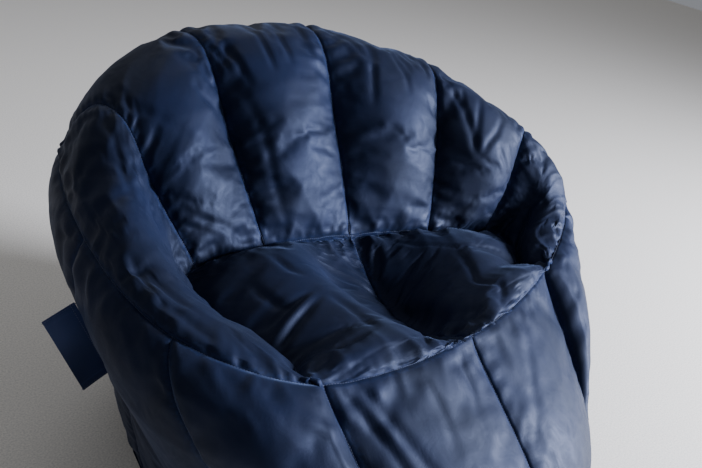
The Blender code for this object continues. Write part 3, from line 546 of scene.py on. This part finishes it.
# Pressed creases and rumples: on wall, roll or seat, width and depth in mm, path in degrees and rows
# (on the seat: degrees and share across). A depth above 0 is a groove, below 0 a ridge.
foldList = [
    ("wall", 9, 5, [(-27, 1.97), (-26, 1.9), (-24, 1.73), (-22, 1.6), (-19, 1.42)]),
    ("wall", 8, 4, [(-31, 1.95), (-30, 1.9), (-27, 1.68), (-26, 1.55)]),
    ("wall", 10, -3, [(-28, 1.9), (-26, 1.8), (-24, 1.7), (-22, 1.6)]),
    ("wall", 8, 2.5, [(-14, 1.95), (-14, 1.88), (-14, 1.75), (-15, 1.62)]),
    ("wall", 6, 4, [(-4, 1.96), (-5, 1.88), (-5, 1.8), (-6, 1.74)]),
    ("wall", 5, 3, [(-3, 1.98), (-2, 1.93), (-1, 1.86), (0, 1.8)]),
    ("wall", 12, 3, [(-44, 1.8), (-42, 1.78), (-37, 1.75), (-35, 1.73)]),
    ("wall", 10, 2, [(-53, 1.85), (-50, 1.88), (-45, 1.9), (-43, 1.9)]),
    ("wall", 12, 2, [(34, 1.83), (33, 1.62), (31, 1.43), (27, 1.3)]),
    ("wall", 10, 2, [(14, 1.88), (10, 1.73), (6, 1.58), (3, 1.45)]),
    ("wall", 9, 2, [(-74, 1.88), (-71, 1.78), (-68, 1.75), (-66, 1.75)]),
    ("wall", 6, 3, [(-97, 1.85), (-95, 1.9), (-94, 1.95), (-94, 1.99)]),
    ("roll", 7, 4, [(-82, 2.04), (-80, 2.25), (-78, 2.53), (-77, 2.83)]),
    ("roll", 7, 4, [(-81, 2.55), (-79, 2.53), (-76, 2.48), (-74, 2.4)]),
    ("roll", 9, 5, [(-70, 2.45), (-67, 2.45), (-62, 2.4), (-58, 2.3)]),
    ("roll", 8, 4, [(-79, 2.68), (-74, 2.7), (-69, 2.73), (-64, 2.73)]),
    ("roll", 9, 3, [(-92, 2.6), (-92, 2.9), (-94, 3.15), (-100, 3.5)]),
    ("roll", 8, 3, [(-87, 2.04), (-86, 2.08), (-84, 2.15), (-82, 2.2)]),
    ("roll", 8, 3, [(-112, 2.93), (-107, 3.08), (-101, 3.18), (-95, 3.28)]),
    ("roll", 9, 3, [(-117, 3.0), (-120, 3.25), (-124, 3.48), (-131, 3.73)]),
    ("roll", 8, 3, [(-102, 3.28), (-108, 3.5), (-112, 3.6), (-114, 3.7)]),
    ("roll", 8, 4, [(-121, 4.4), (-128, 4.58), (-136, 4.73), (-144, 4.9)]),
    ("roll", 6, 3, [(-117, 4.48), (-120, 4.55), (-124, 4.65), (-129, 4.73)]),
    ("roll", 9, 3, [(-156, 3.68), (-158, 3.98), (-158, 4.38), (-159, 4.83)]),
    ("roll", 6, 4, [(-152.5, 3.15), (-152.5, 3.25), (-153, 3.33), (-154, 3.45)]),
    ("roll", 7, 5, [(-156, 3.2), (-156, 3.33), (-157, 3.43), (-158, 3.58)]),
    ("roll", 6, 4, [(-165, 3.1), (-165, 3.3), (-165, 3.4), (-165, 3.5)]),
    ("roll", 6, 4, [(-170, 3.1), (-170, 3.28), (-170, 3.35), (-170, 3.45)]),
    ("roll", 7, 4, [(170, 3.13), (170, 3.35), (171, 3.5), (172, 3.7)]),
    ("roll", 6, 3, [(174, 3.1), (173, 3.2), (172, 3.28), (171, 3.35)]),
    ("roll", 6, 3, [(164, 3.15), (163, 3.33), (162, 3.43), (162, 3.55)]),
    ("roll", 8, 4, [(146, 3.33), (143, 3.5), (141, 3.7), (139, 3.93)]),
    ("roll", 7, 3, [(137, 3.3), (138, 3.45), (139, 3.62), (140, 3.83)]),
    ("roll", 7, 3, [(128, 3.33), (131, 3.55), (135, 3.73), (137, 3.88)]),
    ("roll", 6, 3, [(130, 3.7), (128, 3.78), (125, 3.88), (123, 4.03)]),
    ("roll", 6, 3, [(107, 3.98), (100, 3.88), (87, 3.7), (72, 3.35)]),
    ("seat", 48, 20, [(165, -0.2), (125, -0.3), (85, -0.26), (45, -0.14)]),
    ("seat", 5, 3, [(141, 0.34), (124, 0.34), (86, 0.46), (70, 0.78)]),
    ("seat", 7, 4, [(86, 0.43), (66, 0.43), (45, 0.42), (22, 0.54)]),
    ("seat", 9, 5, [(76, -0.57), (72, -0.74), (69, -0.86), (68, -0.93)]),
    ("seat", 8, 5, [(74, -0.57), (68, -0.72), (64, -0.85), (61, -0.95)]),
    ("seat", 8, -4, [(75, -0.57), (70, -0.72), (66, -0.86), (65, -0.91)]),
    ("seat", 9, 5, [(73, -0.52), (66, -0.51), (58, -0.52), (50, -0.51)]),
    ("seat", 8, 4, [(49, -0.86), (46, -0.76), (46, -0.65), (48, -0.54)]),
    ("seat", 5, 4, [(52, -0.08), (36, -0.21), (27, -0.35), (20, -0.52)]),
    ("seat", 8, 5, [(83, -0.79), (78, -0.79), (74, -0.78), (72, -0.75)]),
    ("seat", 7, 4, [(102, -0.62), (91, -0.6), (87, -0.59), (85, -0.56)])]
foldShape = {"depthShare": 0.8, "reach": 3.2, "margin": 0.02, "steps": 14}


def foldShift(points, normals, kind):
    total = np.zeros(points.shape[:-1])
    for place, width, depth, path in foldList:
        if place != kind:
            continue
        width, depth = width / 1000, foldShape["depthShare"] / 1000 * depth
        knots = np.array(path, float)
        steps = np.linspace(0, len(knots) - 1, foldShape["steps"] * (len(knots) - 1) + 1)
        a = np.interp(steps, np.arange(len(knots)), knots[:, 0])
        b = np.interp(steps, np.arange(len(knots)), knots[:, 1])
        if kind == "seat":
            line = np.array([seatAt(x, y) for x, y in zip(a, b)])
        else:
            line = surface(a, b)
        box = foldShape["reach"] * width + foldShape["margin"]
        near = np.all((points > line.min(0) - box) & (points < line.max(0) + box), axis=-1)
        if not near.any():
            continue
        p, n = points[near], normals[near]
        gap = p[:, None] - line[None]
        gap -= (gap * n[:, None]).sum(-1)[..., None] * n[:, None]
        away = np.linalg.norm(gap, axis=-1)
        pick = away.argmin(1)
        distance = away[np.arange(len(p)), pick]
        share = steps[pick] / steps[-1]
        fade = np.sin(np.pi * np.clip(0.08 + 0.84 * share, 0, 1)) ** 0.7
        x = distance / width
        total[near] -= depth * fade * (1.0 - 0.55 * x * x) * np.exp(-x * x)
    return total


def seatAt(phi, w):
    i = np.interp(phi, halfPhis, np.arange(len(halfPhis)))
    j = np.interp(w, across, np.arange(len(across)))
    i0, j0 = int(min(i, halfCount - 1)), int(min(j, len(across) - 2))
    u, v = i - i0, j - j0
    s = seatPoints
    return ((s[i0, j0] * (1 - v) + s[i0, j0 + 1] * v) * (1 - u)
            + (s[i0 + 1, j0] * (1 - v) + s[i0 + 1, j0 + 1] * v) * u)


sewing = {"skin": 0.0016, "thick": 0.0013, "grooveDepth": 0.0045, "grooveWidth": 0.0065, "gap": 0.00018,
          "gather": {"wall": 0.65, "roll": 1.0, "seat": 0.9}, "fill": {"wall": 0.9, "roll": 0.85, "seat": 0.75},
          "creaseFree": 0.007, "seamWear": 0.012}


def panelMesh(name, inner, outer, uv, seam):
    ni, nj = outer.shape[:2]
    ids = np.arange(ni * nj).reshape(ni, nj)
    total = ni * nj
    faces = []
    for table, back in ((ids, False), (ids + total, True)):
        quads = np.stack([table[:-1, :-1], table[1:, :-1], table[1:, 1:], table[:-1, 1:]], -1)
        quads = quads.reshape(-1, 4)
        faces += (quads[:, ::-1] if back else quads).tolist()
    rim = np.concatenate([ids[:, 0], ids[-1, 1:], ids[-2::-1, -1], ids[0, -2:0:-1]])
    following = np.roll(rim, -1)
    faces += np.stack([following, rim, rim + total, following + total], -1).tolist()
    mesh = bpy.data.meshes.new(name)
    mesh.from_pydata(np.concatenate([outer.reshape(-1, 3), inner.reshape(-1, 3)]).tolist(), [], faces)
    layer = mesh.uv_layers.new(name="cloth")
    corners = np.zeros(len(mesh.loops), int)
    mesh.loops.foreach_get("vertex_index", corners)
    layer.data.foreach_set("uv", uv.reshape(-1, 2)[corners % total].astype(np.float32).ravel())
    attribute = mesh.attributes.new("seam", "FLOAT", "POINT")
    attribute.data.foreach_set("value", np.tile(seam.ravel(), 2).astype(np.float32))
    work = bmesh.new()
    work.from_mesh(mesh)
    bmesh.ops.remove_doubles(work, verts=work.verts, dist=2e-5)
    bmesh.ops.recalc_face_normals(work, faces=work.faces)
    if work.calc_volume(signed=True) < 0:
        bmesh.ops.reverse_faces(work, faces=work.faces)
    work.to_mesh(mesh)
    work.free()
    mesh.shade_smooth()
    piece = bpy.data.objects.new(name, mesh)
    bpy.context.scene.collection.objects.link(piece)
    return piece


seamPaths = {}          # final seam lines, for the stitches


def fromLine(points, line):
    # how far each point is from a seam, and where along the seam that is
    steps = np.arange(0, len(line) - 1 + 1e-9, 0.2)
    fine = np.stack([np.interp(steps, np.arange(len(line)), line[:, k]) for k in range(3)], -1)
    place = runAlong(fine, 0)
    tree = KDTree(len(fine))
    for number, point in enumerate(fine):
        tree.insert(point, number)
    tree.balance()
    found = [tree.find(point) for point in points.reshape(-1, 3)]
    gap = np.array([hit[2] for hit in found]).reshape(points.shape[:2])
    return gap, place[[hit[1] for hit in found]].reshape(points.shape[:2])


def coverPanel(name, ids, kind, seams):
    # seams: the sewn edges of the grid, each with a seed for its gathers
    points = refine(coverShape[ids])
    n = refine(coverNormals[ids])
    n /= length(n)
    alongI, alongJ = runAlong(points, 0), runAlong(points, 1)
    rulers = {"i0": (alongI, alongJ[:1]), "i1": (alongI[-1:] - alongI, alongJ[-1:]),
              "j0": (alongJ, alongI[:, :1]), "j1": (alongJ[:, -1:] - alongJ, alongI[:, -1:])}
    if kind == "seat":
        rulers = {"j0": fromLine(points, points[:, 0]), "j1": fromLine(points, points[:, -1])}
    nearest = np.full(points.shape[:2], 1.0)
    lift = np.zeros(points.shape[:2])
    for edge, seed in seams.items():
        away, place = rulers[edge]
        nearest = np.minimum(nearest, away)
        lift += ripple(np.broadcast_to(place, away.shape), away, seed) * sewing["gather"][kind]
    lift += foldShift(points, n, kind) * (1.0 - np.exp(-nearest / sewing["creaseFree"]))
    lift -= sewing["grooveDepth"] * np.exp(-(nearest / sewing["grooveWidth"]) ** 1.2)
    outer = points + n * (lift + sewing["skin"])[..., None]
    for edge, inward in ((0, 1), (-1, -2)):          # a hairline between two sewn panels
        step = outer[inward] - outer[edge]
        outer[edge] += step / length(step) * np.minimum(sewing["gap"], 0.3 * length(step))
        step = outer[:, inward] - outer[:, edge]
        outer[:, edge] += step / length(step) * np.minimum(sewing["gap"], 0.3 * length(step))
    inner = outer - n * sewing["thick"]
    rubbed = np.exp(-nearest / sewing["seamWear"])
    piece = panelMesh(name + "_cover", inner, outer, np.stack([alongI, alongJ], -1), rubbed)
    piece.data.materials.append(shellCloth)
    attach(piece, "chair")
    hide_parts(name)
    seamPaths[name] = {"i0": outer[0], "i1": outer[-1], "j0": outer[:, 0], "j1": outer[:, -1]}


def seedOf(kind, number):
    return {"wall": 100, "roll": 200}[kind] + number


for name, (cols, kind) in panels.items():
    lower, upper = (11, 12) if kind == "wall" else (12, 13)
    seams = {"i0": seedOf(kind, cols[0]), "i1": seedOf(kind, cols[-1]), "j0": lower, "j1": upper}
    coverPanel(name, (wallIds if kind == "wall" else rollIds)[cols], kind, seams)
coverPanel("seat_panel_left", seatIds[:, :middle + 1], "seat", {"j0": 21, "j1": 22})
coverPanel("seat_panel_right", seatIds[:, middle:], "seat", {"j0": 22, "j1": 23})
print("cover panels made,", len(seamPaths))

# base, linings and beads
def workedCopy(node, name, voxel, material, squeeze=0.0, puff=0.0):
    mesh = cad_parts[node].data.copy()
    mesh.materials.clear()
    piece = bpy.data.objects.new(name, mesh)
    bpy.context.scene.collection.objects.link(piece)
    work = bmesh.new()
    work.from_mesh(mesh)
    bmesh.ops.remove_doubles(work, verts=work.verts, dist=1e-5)
    if voxel is None:
        for _ in range(2):
            long = [e for e in work.edges if e.calc_length() > 0.02]
            bmesh.ops.subdivide_edges(work, edges=long, cuts=1, use_grid_fill=False)
            bmesh.ops.triangulate(work, faces=[f for f in work.faces if len(f.verts) > 3])
    work.to_mesh(mesh)
    work.free()
    if voxel:
        remesh = piece.modifiers.new("even", "REMESH")
        remesh.mode = "VOXEL"
        remesh.voxel_size = voxel
        smooth = piece.modifiers.new("soft", "SMOOTH")
        smooth.iterations = 3
        fresh = bpy.data.meshes.new_from_object(piece.evaluated_get(bpy.context.evaluated_depsgraph_get()))
        piece.modifiers.clear()
        piece.data = mesh = fresh
    count = len(mesh.vertices)
    co, no = np.zeros(count * 3), np.zeros(count * 3)
    mesh.vertices.foreach_get("co", co)
    mesh.vertices.foreach_get("normal", no)
    co, no = co.reshape(-1, 3), no.reshape(-1, 3)
    wavy = np.sin(co[:, 0] * 61 + 2 * np.sin(co[:, 2] * 37))
    wavy *= np.sin(co[:, 1] * 53 + 2 * np.sin(co[:, 0] * 29))
    co += no * (puff * wavy - squeeze)[:, None]
    mesh.vertices.foreach_set("co", co.ravel())
    mesh.update()
    mesh.shade_smooth() if voxel else mesh.shade_flat()
    flat = mesh.uv_layers.get("cloth") or mesh.uv_layers.new(name="cloth")
    corners = np.zeros(len(mesh.loops), int)
    mesh.loops.foreach_get("vertex_index", corners)
    uv = np.stack([co[:, 0] + 0.3 * co[:, 1], co[:, 2] + 0.8 * co[:, 1]], -1)
    flat.data.foreach_set("uv", uv[corners].astype(np.float32).ravel())
    mesh.materials.append(material)
    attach(piece, "chair")
    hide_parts(node)
    return piece


beads = {"voxel": 0.009, "squeeze": 0.011, "channelSqueeze": 0.022, "puff": 0.0006, "fill": 0.85,
         "seatSink": 0.026, "seatAbove": 0.24}
lining = {"hemDrop": 0.009, "baffleNarrowing": 0.035}
for node in [n for n in sorted(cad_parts) if "fill" in n]:
    squeeze = beads["channelSqueeze"] if "channel" in node else beads["squeeze"]
    piece = workedCopy(node, node + "_beads", beads["voxel"], beadMaterial, squeeze, beads["puff"])
    if node == "seat_fill":
        for vertex in piece.data.vertices:      # the seat cloth sinks deeper than its solid
            vertex.co.z -= beads["seatSink"] * (vertex.normal.z > 0.3 and vertex.co.z > beads["seatAbove"])
for node in [n for n in sorted(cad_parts) if "divider" in n or "baffle" in n or "closure" in n]:
    piece = workedCopy(node, node + "_lining", None, liningCloth)
    if "closure" not in node:
        low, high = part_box(node)
        centre = (low + high) / 2
        for vertex in piece.data.vertices:      # its top hem lies inside the seam allowance
            share = (vertex.co.z - low.z) / (high.z - low.z)
            vertex.co.z -= lining["hemDrop"] * share
            if "baffle" in node:
                vertex.co.x += (centre.x - vertex.co.x) * lining["baffleNarrowing"] * share
                vertex.co.y += (centre.y - vertex.co.y) * lining["baffleNarrowing"] * share
workedCopy("base_panel", "base_panel_cover", None, shellCloth)
print("base, linings and beads made")


# rows by geometry nodes: stitches and zip coils
stitch = {"pitch": 0.0034, "length": 0.0026, "width": 0.00068, "height": 0.00068}


def rowTree():
    tree = bpy.data.node_groups.new("beadRow", "GeometryNodeTree")
    face = tree.interface
    face.new_socket("Geometry", in_out="INPUT", socket_type="NodeSocketGeometry")
    sockets = {}
    for label in ("pitch", "length", "width", "height"):
        sockets[label] = face.new_socket(label, in_out="INPUT", socket_type="NodeSocketFloat").identifier
    finish = face.new_socket("finish", in_out="INPUT", socket_type="NodeSocketMaterial")
    sockets["finish"] = finish.identifier
    face.new_socket("Geometry", in_out="OUTPUT", socket_type="NodeSocketGeometry")
    start = addNode(tree, "NodeGroupInput")
    curve = addNode(tree, "GeometryNodeMeshToCurve", links={"Mesh": start.outputs["Geometry"]})
    rows = addNode(tree, "GeometryNodeCurveToPoints", {"mode": "LENGTH"},
                   {"Curve": curve.outputs["Curve"], "Length": start.outputs["pitch"]})
    bead = addNode(tree, "GeometryNodeMeshUVSphere", {"Segments": 6, "Rings": 4, "Radius": 0.5})
    scale = addNode(tree, "ShaderNodeCombineXYZ", links={
        "X": start.outputs["height"], "Y": start.outputs["width"], "Z": start.outputs["length"]})
    turn = addNode(tree, "FunctionNodeAlignRotationToVector", {"axis": "Z"},
                   {"Vector": rows.outputs["Tangent"]})
    put = addNode(tree, "GeometryNodeInstanceOnPoints",
                  links={"Points": rows.outputs["Points"], "Instance": bead.outputs["Mesh"],
                         "Rotation": turn.outputs["Rotation"], "Scale": scale.outputs["Vector"]})
    real = addNode(tree, "GeometryNodeRealizeInstances", links={"Geometry": put.outputs["Instances"]})
    paint = addNode(tree, "GeometryNodeSetMaterial",
                    links={"Geometry": real.outputs["Geometry"], "Material": start.outputs["finish"]})
    end = addNode(tree, "NodeGroupOutput")
    tree.links.new(paint.outputs["Geometry"], end.inputs["Geometry"])
    return tree, sockets


rowGroup, rowSockets = rowTree()


def rowPiece(name, lines, sizes, finish, body="chair"):
    # lines: point arrays that the row follows
    points, edges = [], []
    for line in lines:
        first = len(points)
        points += [tuple(p) for p in line]
        edges += [(first + k, first + k + 1) for k in range(len(line) - 1)]
    mesh = bpy.data.meshes.new(name)
    mesh.from_pydata(points, edges, [])
    piece = bpy.data.objects.new(name, mesh)
    bpy.context.scene.collection.objects.link(piece)
    modifier = piece.modifiers.new("row", "NODES")
    modifier.node_group = rowGroup
    for label, value in sizes.items():
        modifier[rowSockets[label]] = value
    modifier[rowSockets["finish"]] = finish
    fresh = bpy.data.meshes.new_from_object(piece.evaluated_get(bpy.context.evaluated_depsgraph_get()))
    piece.modifiers.clear()
    piece.data = fresh
    fresh.shade_smooth()
    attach(piece, body)
    return piece


def stitchPiece(name, lines, body="chair"):
    return rowPiece(name, lines, stitch, threadMaterial, body)


def seamLine(name, edge):
    line = np.asarray(seamPaths[name][edge])
    keep = np.concatenate([[True], np.linalg.norm(np.diff(line, axis=0), axis=-1) > 1e-4])
    return line[keep]


wallNames = [name for name, (cols, kind) in panels.items() if kind == "wall"]
rollNames = [name for name, (cols, kind) in panels.items() if kind == "roll"]
channelNames = ["arm_band_left"] + ["back_channel_%d" % number for number in (1, 2, 3, 4)]
stitchPiece("crown_seam_stitches", [seamLine(name, "j1") for name in wallNames])
stitchPiece("wall_seam_stitches", [seamLine(name, "i0") for name in wallNames])
stitchPiece("channel_seam_stitches", [seamLine(name, "i1") for name in channelNames])
stitchPiece("seat_seam_stitches",
            [seamLine("seat_panel_left", "j1")] + [seamLine(name, "j1") for name in rollNames])
stitchPiece("base_seam_stitches", [seamLine(name, "j0") for name in wallNames])
print("stitches made")


# zips: two nylon coil zips without pull tabs
zipSize = {"toothPitch": 0.0016, "toothLength": 0.00125, "tapeRows": 6, "tapeColumns": 140,
           "ripple": 0.00018, "tapeInset": 0.0002, "tapeWear": 0.002, "endRoom": 0.001, "bevel": 0.0004,
           "plateOutline": [(-1.0, 0.52), (-0.35, 0.66), (0.35, 0.98), (0.8, 0.98), (1.0, 0.5)],
           "overlap": 0.0003, "plate": 0.0014, "flange": 0.00055, "web": 0.0005}


def corners(node):
    low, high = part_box(node)
    return np.array(low), np.array(high)


def finishPiece(piece, node, body, material, smoothAngle=0.6):
    piece.data.materials.clear()
    piece.data.materials.append(material)
    piece.data.shade_smooth()
    piece.data.set_sharp_from_angle(angle=smoothAngle)
    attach(piece, body)
    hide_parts(node)


def prism(outlines, name):
    # outlines: (list of x y corners, low z, high z), each a closed solid with softened edges
    work = bmesh.new()
    for outline, low, high in outlines:
        floor = [work.verts.new((x, y, low)) for x, y in outline]
        face = work.faces.new(floor)
        grown = bmesh.ops.extrude_face_region(work, geom=[face])
        for item in grown["geom"]:
            if isinstance(item, bmesh.types.BMVert):
                item.co.z = high
    bmesh.ops.recalc_face_normals(work, faces=work.faces)
    edges = [e for e in work.edges if e.calc_face_angle(0.0) > 0.4]
    bmesh.ops.bevel(work, geom=edges, offset=zipSize["bevel"], offset_type="OFFSET", segments=2,
                    affect="EDGES", clamp_overlap=True)
    mesh = bpy.data.meshes.new(name)
    work.to_mesh(mesh)
    work.free()
    piece = bpy.data.objects.new(name, mesh)
    bpy.context.scene.collection.objects.link(piece)
    return piece


def tape(node):
    low, high = corners(node)
    x = np.linspace(low[0], high[0], zipSize["tapeColumns"])
    y = np.linspace(low[1], high[1], zipSize["tapeRows"])
    gx, gy = np.meshgrid(x, y, indexing="ij")
    wave = zipSize["ripple"] * np.sin(gx * 130.0) * np.sin((gy - low[1]) / (high[1] - low[1]) * np.pi)
    inset = zipSize["tapeInset"]
    lower = np.stack([gx, gy, low[2] + inset + wave], -1)
    upper = lower + np.array([0.0, 0.0, high[2] - low[2] - 2 * inset])
    edge = np.minimum(gy - low[1], high[1] - gy)
    piece = panelMesh(node + "_cloth", upper, lower, np.stack([gx, gy], -1),
                      np.exp(-edge / zipSize["tapeWear"]))
    finishPiece(piece, node, "chair", tapeCloth, 1.0)


def zipSet(zipName):
    for side in ("front", "rear"):
        tape(zipName + "_tape_" + side)
        node = zipName + "_chain_" + side
        low, high = corners(node)
        line = np.tile((low + high) / 2, (8, 1))
        line[:, 0] = np.linspace(low[0] + zipSize["endRoom"], high[0] - zipSize["endRoom"], 8)
        sizes = {"pitch": zipSize["toothPitch"], "length": zipSize["toothLength"],
                 "width": high[1] - low[1], "height": high[2] - low[2]}
        piece = rowPiece(node + "_coil", [line], sizes, nylonMaterial)
        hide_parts(node)
    for side in ("left", "right"):
        node = zipName + "_stop_" + side
        low, high = corners(node)
        box = [(low[0], low[1]), (high[0], low[1]), (high[0], high[1]), (low[0], high[1])]
        clamp = prism([(box, low[2], high[2])], node + "_clamp")
        finishPiece(clamp, node, "chair", zincMaterial)
    node = zipName + "_slider"
    low, high = corners(node)
    middle = (low + high) / 2
    halfX, halfY = (high - low)[:2] / 2
    half = zipSize["plateOutline"]
    shape = [(middle[0] + a * halfX, middle[1] + b * halfY) for a, b in half]
    shape += [(middle[0] + a * halfX, middle[1] - b * halfY) for a, b in half[::-1]]
    plate, flange, lap = zipSize["plate"], zipSize["flange"], zipSize["overlap"]
    solids = [(shape, low[2], low[2] + plate), (shape, high[2] - plate, high[2])]
    for sign in (-1.0, 1.0):
        a, b = middle[1] + sign * 0.80 * halfY, middle[1] + sign * 0.94 * halfY
        strip = [(middle[0] - 0.1 * halfX, a), (middle[0] + 0.85 * halfX, a), (middle[0] + 0.85 * halfX, b),
                 (middle[0] - 0.1 * halfX, b)]
        solids.append((strip, low[2] + plate - lap, low[2] + plate + flange))
        solids.append((strip, high[2] - plate - flange, high[2] - plate + lap))
    web = zipSize["web"]
    solids.append(([(middle[0] - 0.5 * halfX, middle[1] - web), (middle[0] + 0.9 * halfX, middle[1] - web),
                    (middle[0] + 0.9 * halfX, middle[1] + web), (middle[0] - 0.5 * halfX, middle[1] + web)],
                   low[2] + plate - lap, high[2] - plate + lap))
    body = zipName.replace("_zip", "_slider")
    finishPiece(prism(solids, node + "_body"), node, body, zincMaterial)


zipSet("outer_zip")
zipSet("inner_zip")
print("zips made")

# side label: a satin tab sewn into the seam, plain, with a paler stripe at each end
label = {"phi": -bag["label"], "v": 1.40, "width": 0.044, "length": 0.118, "thick": 0.0008, "stand": 0.0025,
         "curl": 0.0020, "lean": 0.0080, "stripe": 0.010, "stripeHalf": 0.0022, "columns": 16, "rows": 48}


def makeLabel():
    root = surface(label["phi"], label["v"])
    out = outward(label["phi"], label["v"])
    rise = surface(label["phi"], label["v"] + 0.05) - surface(label["phi"], label["v"] - 0.05)
    rise -= out * (rise * out).sum()
    rise /= np.linalg.norm(rise)
    side = np.cross(out, rise)
    a = np.linspace(0.0, 1.0, label["columns"])
    b = np.linspace(-0.5, 0.5, label["rows"])
    ga, gb = np.meshgrid(a, b, indexing="ij")
    bend = label["curl"] * ga ** 2 * np.sin(gb * 5.0) - label["lean"] * ga ** 1.2
    sheet = root + out * (label["stand"] + ga * label["width"])[..., None]
    sheet = sheet + rise * (gb * label["length"])[..., None]
    sheet = sheet + side * bend[..., None]
    shift = side * label["thick"] / 2
    fromEnd = (0.5 - np.abs(gb)) * label["length"]
    stripe = np.exp(-((fromEnd - label["stripe"]) / label["stripeHalf"]) ** 4)
    uv = np.stack([ga * label["width"], gb * label["length"]], -1)
    piece = panelMesh("side_label_satin", sheet - shift, sheet + shift, uv, stripe)
    finishPiece(piece, "side_label", "label", labelCloth, 1.0)
    lines = [sheet[2] + sign * shift * 1.1 for sign in (-1, 1)]
    lines += [sheet[:, k] + sign * shift * 1.1 for k in (1, -2) for sign in (-1, 1)]
    stitchPiece("side_label_stitches", lines, body="label")


makeLabel()
print("label made")


# camera, light, floor
view = {"azimuth": -40.05, "elevation": 26.50, "distance": 1.1892, "lens": 41.62, "roll": 11.33,
        "target": (-0.0188 + bag["centre"][0], 0.0157 + bag["centre"][1], 0.3668)}


def makeCamera():
    turn, tilt, spin = (math.radians(view[k]) for k in ("azimuth", "elevation", "roll"))
    back = Vector((math.sin(turn) * math.cos(tilt), -math.cos(turn) * math.cos(tilt), math.sin(tilt)))
    right = (-back).cross(Vector((0, 0, 1))).normalized()
    up = right.cross(-back)
    c, s = math.cos(spin), math.sin(spin)
    right, up = right * c + up * s, -right * s + up * c
    data = bpy.data.cameras.new("camera")
    data.lens, data.sensor_width, data.clip_start = view["lens"], 36.0, 0.01
    camera = bpy.data.objects.new("camera", data)
    bpy.context.scene.collection.objects.link(camera)
    place = Vector(view["target"]) + back * view["distance"]
    camera.matrix_world = Matrix([(right[k], up[k], back[k], place[k]) for k in range(3)] + [(0, 0, 0, 1)])
    bpy.context.scene.camera = camera


def areaLight(name, place, aim, size, power, colour):
    data = bpy.data.lights.new(name, "AREA")
    data.shape, data.size, data.energy, data.color = "DISK", size, power, linear(colour)[:3]
    lamp = bpy.data.objects.new(name, data)
    lamp.location = place
    lamp.rotation_euler = (Vector(aim) - Vector(place)).to_track_quat("-Z", "Y").to_euler()
    bpy.context.scene.collection.objects.link(lamp)


studio = {"key": 400.0, "rim": 6.0, "fill": 0.6, "world": 0.27}


def makeStudio():
    areaLight("windowKey", (2.35, -1.75, 1.15), (0.1, -0.1, 0.3), 1.1, studio["key"], "e6edff")
    areaLight("topRim", (0.3, 1.6, 2.1), (0.0, 0.1, 0.5), 1.2, studio["rim"], "f2f6ff")
    areaLight("leftFill", (-2.0, -1.2, 1.2), (0.0, 0.0, 0.3), 1.8, studio["fill"], "eef3ff")
    world = bpy.data.worlds.new("studio")
    world.use_nodes = True
    world.node_tree.nodes["Background"].inputs["Color"].default_value = linear("eef2fb")
    world.node_tree.nodes["Background"].inputs["Strength"].default_value = studio["world"]
    bpy.context.scene.world = world


def makeFloor():
    mesh = bpy.data.meshes.new("floor")
    mesh.from_pydata([(-6, -6, 0), (6, -6, 0), (6, 6, 0), (-6, 6, 0)], [], [(0, 1, 2, 3)])
    floor = bpy.data.objects.new("floor", mesh)
    bpy.context.scene.collection.objects.link(floor)
    mesh.materials.append(plainFinish("paleFloor", "f7f0e4", {"Roughness": 0.8}, 3.0, 0.0003))


makeCamera()
makeStudio()
makeFloor()
print("camera, lights and floor made")
